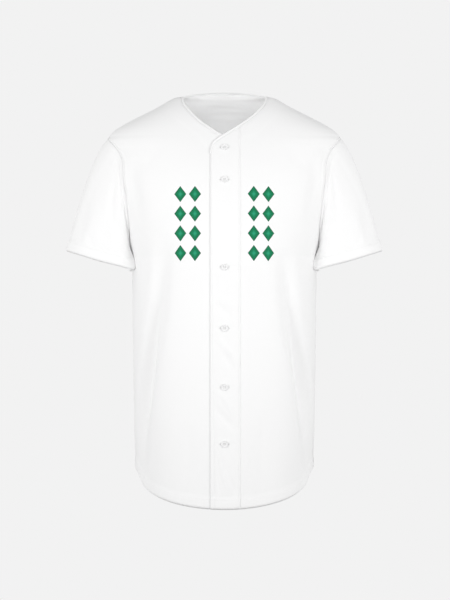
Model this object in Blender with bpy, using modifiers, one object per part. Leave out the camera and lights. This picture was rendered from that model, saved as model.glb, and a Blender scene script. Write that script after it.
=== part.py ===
"""A short-sleeved baseball jersey of white cloth, filled out as if worn.

Metres, +Z up. The front faces -Y and the wearer's left is at +X. The origin is midway
between the two side-neck points, where a wearer's shoulders hold the jersey up.

A turn is an angle round the torso in degrees: 0 at the middle of the front, 90 at the
wearer's left side seam, 180 at the middle of the back and 270, or -90, at the right.
"""

import math
from bisect import bisect_right
from collections import namedtuple

import bmesh
import bpy
from mathutils import Vector

# Cloth and seams
CLOTH = 0.0012  # one layer of cloth
HEM_CLOTH = 0.0020  # a turned hem
HEM_RISE = HEM_CLOTH - CLOTH  # the hem stands out by this, its inside is plain
SEAM_GAP = 0.0003  # between pieces sewn together

# The torso's outline
SQUARENESS = 2.4  # 2 is an ellipse, more is squarer
Section = namedtuple("Section", "height half_width front back")
# half_width runs to the shoulder line, then to the armhole seam, then to the side seam.
# front and back are the depths from the plane of the side seams.
SECTIONS = [
    Section(0.0140, 0.0660, 0.0240, 0.0620),
    Section(0.0000, 0.0785, 0.0300, 0.0590),
    Section(-0.0025, 0.0940, 0.0330, 0.0610),
    Section(-0.0095, 0.1080, 0.0410, 0.0660),
    Section(-0.0247, 0.1350, 0.0550, 0.0740),
    Section(-0.0399, 0.1650, 0.0655, 0.0820),
    Section(-0.0551, 0.1935, 0.0745, 0.0895),
    Section(-0.0665, 0.2105, 0.0806, 0.0950),
    Section(-0.0780, 0.2195, 0.0866, 0.1000),
    Section(-0.0935, 0.2085, 0.0943, 0.1060),
    Section(-0.1060, 0.1985, 0.1000, 0.1103),
    Section(-0.1310, 0.1900, 0.1105, 0.1175),
    Section(-0.1600, 0.1880, 0.1205, 0.1235),
    Section(-0.1900, 0.1830, 0.1285, 0.1275),
    Section(-0.2215, 0.1802, 0.1345, 0.1295),
    Section(-0.2500, 0.1780, 0.1380, 0.1300),
    Section(-0.2850, 0.1772, 0.1400, 0.1297),
    Section(-0.3080, 0.1766, 0.1409, 0.1294),
    Section(-0.3300, 0.1753, 0.1415, 0.1290),
    Section(-0.4500, 0.1735, 0.1410, 0.1270),
    Section(-0.6000, 0.1715, 0.1385, 0.1260),
    Section(-0.7000, 0.1690, 0.1365, 0.1255),
    Section(-0.7900, 0.1670, 0.1355, 0.1250),
]

# Armholes
TIP_HEIGHT = -0.0780
UNDERARM_HEIGHT = -0.3050
ARMHOLE_DEPTH = 0.070  # from the side plane to its front and to its back
ARMHOLE_TOP_SQUARENESS = 2.6
ARMHOLE_BOTTOM_SQUARENESS = 2.2

# Neck
NeckPoint = namedtuple("NeckPoint", "share across height")
# One front's neck edge from its rounded lower corner (share -0.3), past the point of the V
# (share 0) and up to the side neck (share 1). across is positive towards its own side.
NECK_EDGE = [
    NeckPoint(-0.3, -0.0262, -0.1050),
    NeckPoint(-0.2, -0.0212, -0.0935),
    NeckPoint(-0.1, -0.0115, -0.0855),
    NeckPoint(0.0, 0.0000, -0.0780),
    NeckPoint(0.2, 0.0206, -0.0648),
    NeckPoint(0.4, 0.0421, -0.0499),
    NeckPoint(0.6, 0.0611, -0.0318),
    NeckPoint(0.8, 0.0741, -0.0144),
    NeckPoint(1.0, 0.0785, 0.0000),
]
NECK_CORNER = NECK_EDGE[0].share
NECK_HALF_WIDTH = NECK_EDGE[-1].across
VEE_SHIFT = -0.0026  # the point of the V lies a little to the wearer's right
INSET_TURNS = (0.35, 0.70)  # shares between which an inset turns from down to square
BACK_RIM_RISE = 0.0133  # the middle of the back neck above the side neck
BACK_RIM_POWER = 0.9
BINDING_WIDTH = 0.0040
BINDING_CLOTH = 0.0018
BINDING_RISE = 0.0003  # above the panel beside it

# Placket, left over right
PLACKET_EDGE = -0.0262  # its free edge
PLACKET_SEAM = 0.0292  # where it meets the wearer's left front
PLACKET_CLOTH = 0.0014
LAP_RISE = 0.0024  # the outside of the placket above the outside of the right front
LAP_END = 0.0750  # the left front has come down to the torso's own outline here
UNDERLAP_EDGE = 0.0250  # the right front's own edge, under the placket

# Hem
HEM_SIDE = -0.7065
HEM_MIDDLE = -0.7720
HemPoint = namedtuple("HemPoint", "level bow")
# level is 0 at the side seam and 1 at the middle; bow runs from HEM_SIDE to HEM_MIDDLE.
HEM_CURVE = [
    HemPoint(0.0, 0.0),
    HemPoint(0.12, 0.02),
    HemPoint(0.25, 0.09),
    HemPoint(0.35, 0.24),
    HemPoint(0.49, 0.49),
    HemPoint(0.68, 0.70),
    HemPoint(0.784, 0.80),
    HemPoint(1.0, 1.0),
]
HEM_WIDTH = 0.0210
HEM_STEP = 0.0010  # the height over which the cloth steps out to the hem

# Rows of each front and of the back
SHOULDER_ROWS = 5
ARMHOLE_ROWS = 12
SIDE_ROWS = 14
PANEL_ROWS = SHOULDER_ROWS + ARMHOLE_ROWS + SIDE_ROWS
HEM_ROWS = 3
SHOULDER_SPACING = 1.2
MIDDLE_AT_TIP = -0.150  # height of the tip's row at the middle of the front
MIDDLE_AT_UNDERARM = -0.350
PULL_POWER = 2  # how the armhole's pull on the rows fades inwards, lower down
PULL_STEEPEST = 60  # degrees that a small pull, near the shoulder tip, may gain over a row
PULL_LEAST = 1.5  # degrees
LEVEL_POWER = 3  # how late a row leaves the level of its outer edge
NECK_FADE_ROWS = 14  # the neck's bow is gone from the rows below this many, in the middle
RIGHT_COLUMNS = 17
LEFT_COLUMNS = 14
BACK_COLUMNS = 22
PLACKET_COLUMNS = 6
PLACKET_ROWS = 28
PLACKET_SPACING = 1.25  # over 1, its rows lie closer at the top
BINDING_COLUMNS = 2

# Folds of the torso, each a soft trough with a lower ridge on its outer side
Fold = namedtuple("Fold", "name turns heights width depth")
FOLDS = [
    Fold("right front drape", (-37, -46, -72), (-0.260, -0.430, -0.670), 0.018, 0.0065),
    Fold("left front drape", (37, 47, 73), (-0.290, -0.450, -0.640), 0.018, 0.0065),
    Fold("right chest", (-50, -53, -55), (-0.120, -0.180, -0.245), 0.013, 0.0030),
    Fold("left chest", (50, 53, 55), (-0.120, -0.180, -0.240), 0.013, 0.0030),
    Fold("left back drape", (138, 133, 114), (-0.230, -0.420, -0.690), 0.020, 0.0060),
    Fold("right back drape", (221, 228, 247), (-0.250, -0.400, -0.660), 0.018, 0.0070),
    Fold("left back blade", (128, 131, 135), (-0.120, -0.180, -0.250), 0.014, 0.0035),
    Fold("right back blade", (232, 229, 226), (-0.115, -0.170, -0.235), 0.014, 0.0035),
    Fold("small of the back", (176, 170, 163), (-0.400, -0.550, -0.730), 0.022, 0.0040),
]
RIDGE_SHARE = 0.45
RIDGE_OFFSET = 1.7  # in trough widths
MEAN_RADIUS = 0.155  # turns a turn into a distance across a fold

# Sleeves, for the wearer's left. The right one is its mirror image.
SLEEVE_HEM_CENTRE = Vector((0.2394, 0.0, -0.3118))
SLEEVE_HEM_HALF_WIDTH = 0.0644
SLEEVE_HEM_HALF_DEPTH = 0.0660
SLEEVE_OUTER_SQUARENESS = 2.2  # 2 is an ellipse
SLEEVE_INNER_SQUARENESS = 6.0  # flatter beside the body
SLEEVE_TILT = math.radians(17.1)  # its hem's slope, and its fall away from upright
SLEEVE_CAP_FALL = math.radians(44)  # how far from upright the top leaves the shoulder
SLEEVE_CAP_PULL = 0.62
SLEEVE_ROWS = 9
SLEEVE_HEM_WIDTH = 0.0210
SleeveFold = namedtuple("SleeveFold", "name around along width depth")
# around is 0 at the shoulder, 0.25 at the front, 0.5 underarm and 0.75 at the back.
SLEEVE_FOLDS = [
    SleeveFold("beside the seam", (0.16, 0.27), (0.10, 0.55), 0.010, 0.0030),
    SleeveFold("elbow side", (0.10, 0.15), (0.55, 0.93), 0.014, 0.0030),
    SleeveFold("back of the arm", (0.84, 0.72), (0.15, 0.80), 0.013, 0.0035),
]
SLEEVE_RADIUS = 0.066

# Buttons
BUTTON_RADIUS = 0.0065
BUTTON_THICKNESS = 0.0024
BUTTON_RIM = 0.0016
BUTTON_SEGMENTS = 20
BUTTON_HOLE_RADIUS = 0.0008
BUTTON_HOLE_SPACING = 0.0026
BUTTON_ACROSS = 0.0004
BUTTON_HEIGHTS = [-0.1034, -0.1641, -0.3250, -0.4372, -0.5457, -0.6506]
BUTTON_GAP = 0.0003

WELD = 0.000001
STEP = 0.001  # for slopes, in metres
TURN_STEP = 0.5  # in degrees
NECK_STEP = 0.02  # in shares


def curve_through(knots):
    """A smooth curve through (place, value) knots that never runs past them."""
    places, values = zip(*sorted(knots))
    gaps = [b - a for a, b in zip(places, places[1:])]
    slopes = [(b - a) / gap for a, b, gap in zip(values, values[1:], gaps)]
    tangents = [slopes[0]]
    for before, after in zip(slopes, slopes[1:]):
        turns_back = before * after <= 0
        tangents.append(0.0 if turns_back else 2 * before * after / (before + after))
    tangents.append(slopes[-1])

    def value(place):
        i = min(max(bisect_right(places, place) - 1, 0), len(gaps) - 1)
        t = min(max((place - places[i]) / gaps[i], 0.0), 1.0)
        start = (1 + 2 * t) * (1 - t) ** 2 * values[i] + t * (1 - t) ** 2 * gaps[i] * tangents[i]
        end = t * t * (3 - 2 * t) * values[i + 1] - t * t * (1 - t) * gaps[i] * tangents[i + 1]
        return start + end

    return value


half_width_at = curve_through([(s.height, s.half_width) for s in SECTIONS])
front_depth_at = curve_through([(s.height, s.front) for s in SECTIONS])
back_depth_at = curve_through([(s.height, s.back) for s in SECTIONS])
neck_across_at = curve_through([(p.share, p.across) for p in NECK_EDGE])
neck_height_at = curve_through([(p.share, p.height) for p in NECK_EDGE])
hem_bow_at = curve_through([(p.level, p.bow) for p in HEM_CURVE])


def blend(a, b, share):
    return a + (b - a) * share


def smooth_step(share):
    share = min(max(share, 0.0), 1.0)
    return share * share * (3 - 2 * share)


def solve(function, wanted, low, high):
    """Where a rising function reaches the wanted value."""
    for _ in range(50):
        middle = (low + high) / 2
        if function(middle) < wanted:
            low = middle
        else:
            high = middle
    return (low + high) / 2


def armhole_depth_at(height):
    """Distance of the armhole's edge from the side plane, 0 above and below it."""
    middle = (TIP_HEIGHT + UNDERARM_HEIGHT) / 2
    reach = (TIP_HEIGHT - UNDERARM_HEIGHT) / 2
    share = min(abs(height - middle) / reach, 1.0)
    power = ARMHOLE_TOP_SQUARENESS if height > middle else ARMHOLE_BOTTOM_SQUARENESS
    return ARMHOLE_DEPTH * (1 - share**power) ** (1 / power)


def depth_at(turn, height):
    """Signed depth of the section: negative in front."""
    front = math.cos(math.radians(turn)) > 0
    return -front_depth_at(height) if front else back_depth_at(height)


def full_width_at(turn, height):
    """Half-width of the whole section, also where the armhole cuts it off."""
    share = armhole_depth_at(height) / abs(depth_at(turn, height))
    return half_width_at(height) / (1 - share**SQUARENESS) ** (1 / SQUARENESS)


def turn_of(across, height, front=True):
    """The turn at which the section at this height is this far from the middle."""
    share = across / full_width_at(0 if front else 180, height)
    turn = math.degrees(math.asin(min(max(share, -1.0), 1.0)))
    return turn if front else 180 - turn


def fold_relief(turn, height):
    """How far the folds move the cloth out at a place on the torso."""
    moved = 0.0
    for fold in FOLDS:
        top, middle, bottom = fold.heights
        if not bottom < height < top:
            continue
        path = curve_through(list(zip(fold.heights, fold.turns)))
        outer_side = 1 if fold.turns[2] > fold.turns[0] else -1
        off = math.radians(turn - path(height)) * MEAN_RADIUS * outer_side / fold.width
        fade = math.sin(math.pi * (top - height) / (top - bottom)) ** 0.7
        trough = math.exp(-off * off)
        ridge = RIDGE_SHARE * math.exp(-((off - RIDGE_OFFSET) ** 2))
        moved += fold.depth * fade * (ridge - trough)
    return moved


def bare_torso(turn, height):
    """A point of the torso's outline, before the folds."""
    angle = math.radians(turn)
    share = min(abs(math.sin(angle)), 1.0)
    across = full_width_at(turn, height) * math.sin(angle)
    depth = depth_at(turn, height) * (1 - share**SQUARENESS) ** (1 / SQUARENESS)
    return Vector((across, depth, height))


def outward(place, a, b, step_a, step_b):
    """The outward direction of the surface place(a, b), from its slopes."""
    across = place(a + step_a, b) - place(a - step_a, b)
    up = place(a, b + step_b) - place(a, b - step_b)
    return across.cross(up).normalized()


def torso(turn, height, out=0.0):
    """A point of the cloth on the torso, moved out by this much."""
    turn = (turn + 90) % 360 - 90
    normal = outward(bare_torso, turn, height, TURN_STEP, STEP)
    return bare_torso(turn, height) + normal * (fold_relief(turn, height) + out)


def hem_height(turn):
    """Height of the hem's edge: lowest at the middle of the front and back, arched at the sides."""
    bow = hem_bow_at(abs(math.cos(math.radians(turn))))
    return blend(HEM_SIDE, HEM_MIDDLE, bow)


def shoulder_height(across):
    """Height of the shoulder seam this far from the middle."""
    return -solve(lambda drop: half_width_at(-drop), across, 0.0, -TIP_HEIGHT)


def neck_share(side, across):
    """The share of a front's neck edge that lies this far from the middle."""
    return solve(lambda share: neck_point(side, share, 0.0)[0], across, NECK_CORNER, 1.0)


def neck_point(side, share, inset):
    """(across, height) of a front's neck edge, drawn back by inset from the opening.

    Low down it is drawn back straight down, higher up square to the edge.
    """
    shift = side * VEE_SHIFT * smooth_step(1 - share if share > 0 else 1 - share / NECK_CORNER)
    run = neck_across_at(share + NECK_STEP) - neck_across_at(share - NECK_STEP)
    rise = neck_height_at(share + NECK_STEP) - neck_height_at(share - NECK_STEP)
    size = math.hypot(run, rise)
    start, end = INSET_TURNS
    square = smooth_step((share - start) / (end - start))
    down = blend(size / run, run / size, square)
    across = neck_across_at(share) + shift + inset * square * rise / size
    return across, neck_height_at(share) - inset * down


def front_neck(side, share, inset):
    """(turn, height) of a front's neck edge, drawn back by inset from the opening."""
    if share >= 1:
        return side * 90, shoulder_height(NECK_HALF_WIDTH + inset)
    across, height = neck_point(side, share, inset)
    return side * turn_of(across, height), height


def back_neck(share, inset):
    """(turn, height) of the back neck edge, from the left side neck to the right."""
    turn = blend(90, 270, share)
    bow = abs(math.cos(math.radians(turn))) ** BACK_RIM_POWER
    side_height = shoulder_height(NECK_HALF_WIDTH + inset)
    return turn, blend(side_height, BACK_RIM_RISE - inset, bow)


def row_height(row):
    """Height of a panel's row at its outer edge: shoulder, armhole, then side seam."""
    if row <= SHOULDER_ROWS:
        top = shoulder_height(NECK_HALF_WIDTH + BINDING_WIDTH + SEAM_GAP)
        return blend(top, TIP_HEIGHT, (row / SHOULDER_ROWS) ** SHOULDER_SPACING)
    row -= SHOULDER_ROWS
    if row <= ARMHOLE_ROWS:
        bow = (1 - math.cos(math.pi * row / ARMHOLE_ROWS)) / 2
        return blend(TIP_HEIGHT, UNDERARM_HEIGHT, bow)
    fold_line = HEM_SIDE + HEM_WIDTH + HEM_STEP
    return blend(UNDERARM_HEIGHT, fold_line, (row - ARMHOLE_ROWS) / SIDE_ROWS)


def middle_height(row, top):
    """Height of a front's row at its inner edge, below its neck edge at top."""
    bottom = HEM_MIDDLE + HEM_WIDTH + HEM_STEP
    rows = [0, SHOULDER_ROWS, SHOULDER_ROWS + ARMHOLE_ROWS, PANEL_ROWS]
    heights = [top, MIDDLE_AT_TIP, MIDDLE_AT_UNDERARM, bottom]
    i = min(bisect_right(rows, row) - 1, len(rows) - 2)
    return blend(heights[i], heights[i + 1], (row - rows[i]) / (rows[i + 1] - rows[i]))


def outer_edge(side, row, front=True):
    """(turn, height) of a panel's shoulder seam, armhole and side seam."""
    height = row_height(row)
    on_armhole = SHOULDER_ROWS < row < SHOULDER_ROWS + ARMHOLE_ROWS
    turn = turn_of(half_width_at(height), height, front) if on_armhole else 90
    return side * turn if side > 0 or front else 360 - turn, height


def pull_at(pull, share):
    """How far the armhole pulls a row inwards, share of the way to its outer edge.

    The pull fades inwards. A small one, near the shoulder tip, stays close to the edge, so
    that no row crosses the next.
    """
    power = max(PULL_POWER, PULL_STEEPEST / max(abs(pull), PULL_LEAST))
    return pull * share**power


def along_front_row(side, share, row, inner):
    """(turn, height) on a front's row, from its inner edge to its outer one."""
    start, end = inner(row), outer_edge(side, row)
    turn = blend(start[0], side * 90, share) + pull_at(end[0] - side * 90, share)
    return turn, blend(end[1], start[1], (1 - share) ** LEVEL_POWER)


def along_back_row(share, row):
    """(turn, height) on a row of the back, from the wearer's left edge to the right one."""
    turn, height = outer_edge(1, row, front=False)
    pull = pull_at(turn - 90, abs(1 - 2 * share))
    return blend(90, 270, share) + math.copysign(pull, 1 - 2 * share), height


def panel_place(share, outer_share, row, along_row, top):
    """(turn, height) of a panel's grid, with its turned hem as the last rows.

    along_row(share, row) gives the rows between the side edges, and top(share) the neck
    edge, whose bow fades out over the first rows. outer_share is 1 at the outer edges.
    """
    body_row = min(row, PANEL_ROWS)
    turn, height = along_row(share, body_row)
    fade = max(0.0, 1 - body_row / blend(NECK_FADE_ROWS, SHOULDER_ROWS, outer_share)) ** 2
    first, neck = along_row(share, 0), top(share)
    last_turn, last_height = along_row(share, PANEL_ROWS)
    hem_bow = hem_height(last_turn) + HEM_WIDTH + HEM_STEP - last_height
    turn += fade * (neck[0] - first[0])
    height += fade * (neck[1] - first[1]) + hem_bow * body_row / PANEL_ROWS
    if row <= PANEL_ROWS:
        return turn, height
    hem_share = (row - PANEL_ROWS - 1) / (HEM_ROWS - 1)
    return turn, hem_height(turn) + HEM_WIDTH * (1 - hem_share)


def lap_rise(across):
    """How far the left front stands out, to lie over the right one."""
    return LAP_RISE * smooth_step((LAP_END - across) / (LAP_END - PLACKET_SEAM))


def front_left_place(column, row):
    start = neck_share(1, PLACKET_SEAM)

    def inner(row):
        top = front_neck(1, start, BINDING_WIDTH + SEAM_GAP)[1]
        height = middle_height(row, top)
        return turn_of(PLACKET_SEAM, height), height

    def along_row(share, row):
        return along_front_row(1, share, row, inner)

    def neck(share):
        return front_neck(1, blend(start, 1.0, share), BINDING_WIDTH + SEAM_GAP)

    share = column / LEFT_COLUMNS
    turn, height = panel_place(share, share, row, along_row, neck)
    return turn, height, lap_rise(bare_torso(turn, height).x)


def front_right_place(column, row):
    start = neck_share(-1, -UNDERLAP_EDGE)

    def inner(row):
        top = front_neck(-1, start, BINDING_WIDTH + SEAM_GAP)[1]
        height = middle_height(row, top)
        return turn_of(UNDERLAP_EDGE, height), height

    def along_row(share, row):
        return along_front_row(-1, share, row, inner)

    def neck(share):
        return front_neck(-1, blend(start, 1.0, share), BINDING_WIDTH + SEAM_GAP)

    share = 1 - column / RIGHT_COLUMNS
    turn, height = panel_place(share, share, row, along_row, neck)
    return turn, height, 0.0


def back_place(column, row):
    def neck(share):
        return back_neck(share, BINDING_WIDTH + SEAM_GAP)

    share = column / BACK_COLUMNS
    turn, height = panel_place(share, abs(1 - 2 * share), row, along_back_row, neck)
    return turn, height, 0.0


def placket_place(column, row):
    """The placket's grid, a strip over the right front."""
    across = blend(PLACKET_EDGE, PLACKET_SEAM, column / PLACKET_COLUMNS)
    top = neck_point(1, neck_share(1, across), BINDING_WIDTH + SEAM_GAP)[1]
    edge = hem_height(turn_of(across, HEM_MIDDLE))
    if row <= PLACKET_ROWS:
        share = (row / PLACKET_ROWS) ** PLACKET_SPACING
        height = blend(top, edge + HEM_WIDTH + HEM_STEP, share)
    else:
        height = edge + HEM_WIDTH * (1 - (row - PLACKET_ROWS - 1) / (HEM_ROWS - 1))
    rise = LAP_RISE + (HEM_RISE if row > PLACKET_ROWS else 0.0)
    return turn_of(across, height), height, rise


def binding_stations():
    """(turn, height) of the binding's two edges, and its rise, all round the neck."""
    stations = []
    left = []
    for i in range(PLACKET_COLUMNS):
        across = blend(PLACKET_EDGE, PLACKET_SEAM, i / PLACKET_COLUMNS)
        left.append(neck_share(1, across))
    for i in range(LEFT_COLUMNS):
        left.append(blend(neck_share(1, PLACKET_SEAM), 1.0, i / LEFT_COLUMNS))
    for share in left:
        edges = front_neck(1, share, 0.0), front_neck(1, share, BINDING_WIDTH)
        across = neck_point(1, share, 0.0)[0]
        stations.append((*edges, lap_rise(across) + BINDING_RISE))
    for i in range(BACK_COLUMNS):
        share = i / BACK_COLUMNS
        stations.append((back_neck(share, 0.0), back_neck(share, BINDING_WIDTH), BINDING_RISE))
    right_end = neck_share(-1, -UNDERLAP_EDGE)
    for i in range(RIGHT_COLUMNS + 1):
        share = blend(1.0, right_end, i / RIGHT_COLUMNS)
        edges = front_neck(-1, share, 0.0), front_neck(-1, share, BINDING_WIDTH)
        stations.append((*edges, BINDING_RISE))
    return stations


def sleeve_axis(fall):
    return Vector((math.sin(fall), 0.0, -math.cos(fall)))


def hem_ring(angle):
    """A point on the left sleeve's hem: an oval that follows the body on its inner side."""
    across, deep = math.cos(angle), math.sin(angle)
    power = 2 / (SLEEVE_INNER_SQUARENESS if across < 0 else SLEEVE_OUTER_SQUARENESS)
    across = math.copysign(abs(across) ** power, across)
    y = -SLEEVE_HEM_HALF_DEPTH * math.copysign(abs(deep) ** power, deep)
    out = Vector((math.cos(SLEEVE_TILT), 0.0, math.sin(SLEEVE_TILT)))
    point = SLEEVE_HEM_CENTRE + out * SLEEVE_HEM_HALF_WIDTH * across + Vector((0.0, y, 0.0))
    depth = abs(depth_at(0 if y < 0 else 180, point.z))
    curve = 1 - (1 - (abs(y) / depth) ** SQUARENESS) ** (1 / SQUARENESS)
    point.x -= half_width_at(point.z) * curve * max(0.0, -across)
    return point


def bare_sleeve(around, along):
    """A point of the left sleeve's outline, before its folds."""
    in_front = around <= 0.5
    share = min(around, 1 - around) * 2
    height = blend(TIP_HEIGHT, UNDERARM_HEIGHT, (1 - math.cos(math.pi * share)) / 2)
    at_end = share <= 0 or share >= 1
    turn = 90 if at_end else turn_of(half_width_at(height), height, in_front)
    seam = torso(turn, height)
    hem = hem_ring(math.tau * around)
    length = (hem - seam).length
    fall = blend(SLEEVE_CAP_FALL, 0.0, smooth_step(share))
    leaving = sleeve_axis(fall) * length * blend(SLEEVE_CAP_PULL, 1.0, share)
    arriving = sleeve_axis(SLEEVE_TILT * (1 - share)) * length
    t = along
    start = seam * (1 + 2 * t) * (1 - t) ** 2 + leaving * t * (1 - t) ** 2
    return start + hem * t * t * (3 - 2 * t) - arriving * t * t * (1 - t)


def sleeve_relief(around, along):
    """How far its folds move a sleeve's cloth out."""
    moved = 0.0
    for fold in SLEEVE_FOLDS:
        start, end = fold.along
        if start < along < end:
            share = (along - start) / (end - start)
            off = (around - blend(*fold.around, share)) * math.tau * SLEEVE_RADIUS / fold.width
            moved -= fold.depth * math.sin(math.pi * share) * math.exp(-off * off)
    return moved


def sleeve(around, along, out=0.0):
    """A point of the left sleeve's cloth, moved out by this much."""
    normal = -outward(bare_sleeve, around, min(max(along, 0.002), 0.998), 0.004, -0.002)
    return bare_sleeve(around, along) + normal * (sleeve_relief(around, along) + out)


def mirrored_sleeve(around, along, out=0.0):
    """A point of the right sleeve's cloth, the left one's mirror image."""
    point = sleeve(around, along, out)
    return Vector((-point.x, point.y, point.z))


def left_sleeve_place(column, row):
    around = (1 - column / (2 * ARMHOLE_ROWS)) % 1
    length = (SLEEVE_HEM_CENTRE - torso(90, (TIP_HEIGHT + UNDERARM_HEIGHT) / 2)).length
    fold_line = 1 - SLEEVE_HEM_WIDTH / length
    if row <= SLEEVE_ROWS:
        along = (fold_line - HEM_STEP / length) * row / SLEEVE_ROWS
    else:
        along = blend(fold_line, 1.0, (row - SLEEVE_ROWS - 1) / (HEM_ROWS - 1))
    return around, along, 0.0


def right_sleeve_place(column, row):
    return left_sleeve_place(-column, row)


def drawn_back(points):
    """The grid's points with every edge moved in by half a seam gap."""
    rows, columns = len(points) - 1, len(points[0]) - 1
    moved = [[point.copy() for point in row] for row in points]

    def draw(row, column, next_row, next_column):
        towards = points[next_row][next_column] - points[row][column]
        moved[row][column] += towards.normalized() * SEAM_GAP / 2

    for column in range(columns + 1):
        draw(0, column, 1, column)
        draw(rows, column, rows - 1, column)
    if (points[0][0] - points[0][columns]).length > SEAM_GAP:
        for row in range(rows + 1):
            draw(row, 0, row, 1)
            draw(row, columns, row, columns - 1)
    return moved


def material(name, colour, roughness):
    made = bpy.data.materials.new(name)
    made.use_nodes = True
    shader = made.node_tree.nodes["Principled BSDF"]
    shader.inputs["Base Color"].default_value = (*colour, 1.0)
    shader.inputs["Roughness"].default_value = roughness
    shader.inputs["Metallic"].default_value = 0.0
    return made


def collection(name):
    made = bpy.data.collections.new(name)
    bpy.context.scene.collection.children.link(made)
    return made


def cloth_piece(name, columns, rows, place, surface, finish, thickness, hem_from=None):
    """A wall of cloth: a grid on a surface, extruded to its inside.

    place(column, row) gives two places on the surface and the cloth's rise above it. Rows
    after hem_from are a turned hem, which stands out further over the same inside.
    """
    outside, inside = [], []
    for row in range(rows + 1):
        hem = HEM_RISE if hem_from is not None and row > hem_from else 0.0
        places = [place(column, row) for column in range(columns + 1)]
        outside.append([surface(a, b, rise + hem) for a, b, rise in places])
        inside.append([surface(a, b, rise - thickness) for a, b, rise in places])
    outside, inside = drawn_back(outside), drawn_back(inside)
    shape = bmesh.new()
    bmesh.ops.create_grid(shape, x_segments=columns, y_segments=rows, size=0.5)
    column_of = shape.verts.layers.int.new("column")
    row_of = shape.verts.layers.int.new("row")
    for vert in shape.verts:
        vert[column_of] = round((vert.co.x + 0.5) * columns)
        vert[row_of] = round((0.5 - vert.co.y) * rows)
        vert.co = outside[vert[row_of]][vert[column_of]]
    bmesh.ops.remove_doubles(shape, verts=shape.verts, dist=WELD)
    wall = bmesh.ops.extrude_face_region(shape, geom=shape.faces[:], use_keep_orig=True)
    for vert in wall["geom"]:
        if isinstance(vert, bmesh.types.BMVert):
            vert.co = inside[vert[row_of]][vert[column_of]]
    bmesh.ops.recalc_face_normals(shape, faces=shape.faces)
    mesh = bpy.data.meshes.new(name)
    shape.to_mesh(mesh)
    shape.free()
    mesh.shade_smooth()
    mesh.materials.append(finish)
    jersey.objects.link(bpy.data.objects.new(name, mesh))


def make_neck_binding(finish):
    stations = binding_stations()

    def place(column, row):
        neck, panel, rise = stations[column]
        share = row / BINDING_COLUMNS
        return blend(neck[0], panel[0], share), blend(neck[1], panel[1], share), rise

    columns = len(stations) - 1
    cloth_piece("neck_binding", columns, BINDING_COLUMNS, place, torso, finish, BINDING_CLOTH)


def button_mesh():
    """Half the button's section, for Screw to turn about Z; its back is at z = 0."""
    inner = BUTTON_RADIUS - BUTTON_RIM
    profile = [
        (0.0, BUTTON_THICKNESS * 0.60),
        (inner * 0.85, BUTTON_THICKNESS * 0.60),
        (inner, BUTTON_THICKNESS * 0.92),
        (BUTTON_RADIUS - BUTTON_RIM * 0.45, BUTTON_THICKNESS),
        (BUTTON_RADIUS, BUTTON_THICKNESS * 0.65),
        (BUTTON_RADIUS * 0.88, 0.0),
        (0.0, 0.0),
    ]
    shape = bmesh.new()
    verts = [shape.verts.new((across, 0.0, up)) for across, up in profile]
    for a, b in zip(verts, verts[1:]):
        shape.edges.new((a, b))
    mesh = bpy.data.meshes.new("button profile")
    shape.to_mesh(mesh)
    shape.free()
    return mesh


def make_hole_cutter(cutters):
    """Four thread holes, cut through every button at its own place."""
    shape = bmesh.new()
    for x in (-1, 1):
        for y in (-1, 1):
            hole = bmesh.ops.create_cone(
                shape,
                cap_ends=True,
                segments=8,
                radius1=BUTTON_HOLE_RADIUS,
                radius2=BUTTON_HOLE_RADIUS,
                depth=BUTTON_THICKNESS * 3,
            )
            offset = Vector((x, y, 0.0)) * BUTTON_HOLE_SPACING / 2
            bmesh.ops.translate(shape, verts=hole["verts"], vec=offset)
    mesh = bpy.data.meshes.new("thread holes")
    shape.to_mesh(mesh)
    shape.free()
    cutter = bpy.data.objects.new("thread_holes", mesh)
    cutter.hide_render = True
    cutter.display_type = "WIRE"
    cutters.objects.link(cutter)
    return cutter


def make_button(name, height, mesh, cutters):
    """A four-hole button on the placket, square to the cloth under it."""
    turn = turn_of(BUTTON_ACROSS, height)
    face = torso(turn, height, LAP_RISE + BUTTON_GAP)
    normal = (torso(turn, height, 0.01) - torso(turn, height)).normalized()
    turned = normal.to_track_quat("Z", "Y").to_euler()
    cutter = make_hole_cutter(cutters)
    piece = bpy.data.objects.new(name, mesh)
    jersey.objects.link(piece)
    for thing in (piece, cutter):
        thing.location = face
        thing.rotation_euler = turned
    lathe = piece.modifiers.new("Turned", "SCREW")
    lathe.steps = BUTTON_SEGMENTS
    lathe.render_steps = BUTTON_SEGMENTS
    lathe.use_merge_vertices = True
    lathe.merge_threshold = 0.00001
    holes = piece.modifiers.new("Thread holes", "BOOLEAN")
    holes.operation = "DIFFERENCE"
    holes.object = cutter


for thing in list(bpy.data.objects):
    bpy.data.objects.remove(thing)
jersey = collection("baseball_jersey")


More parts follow.
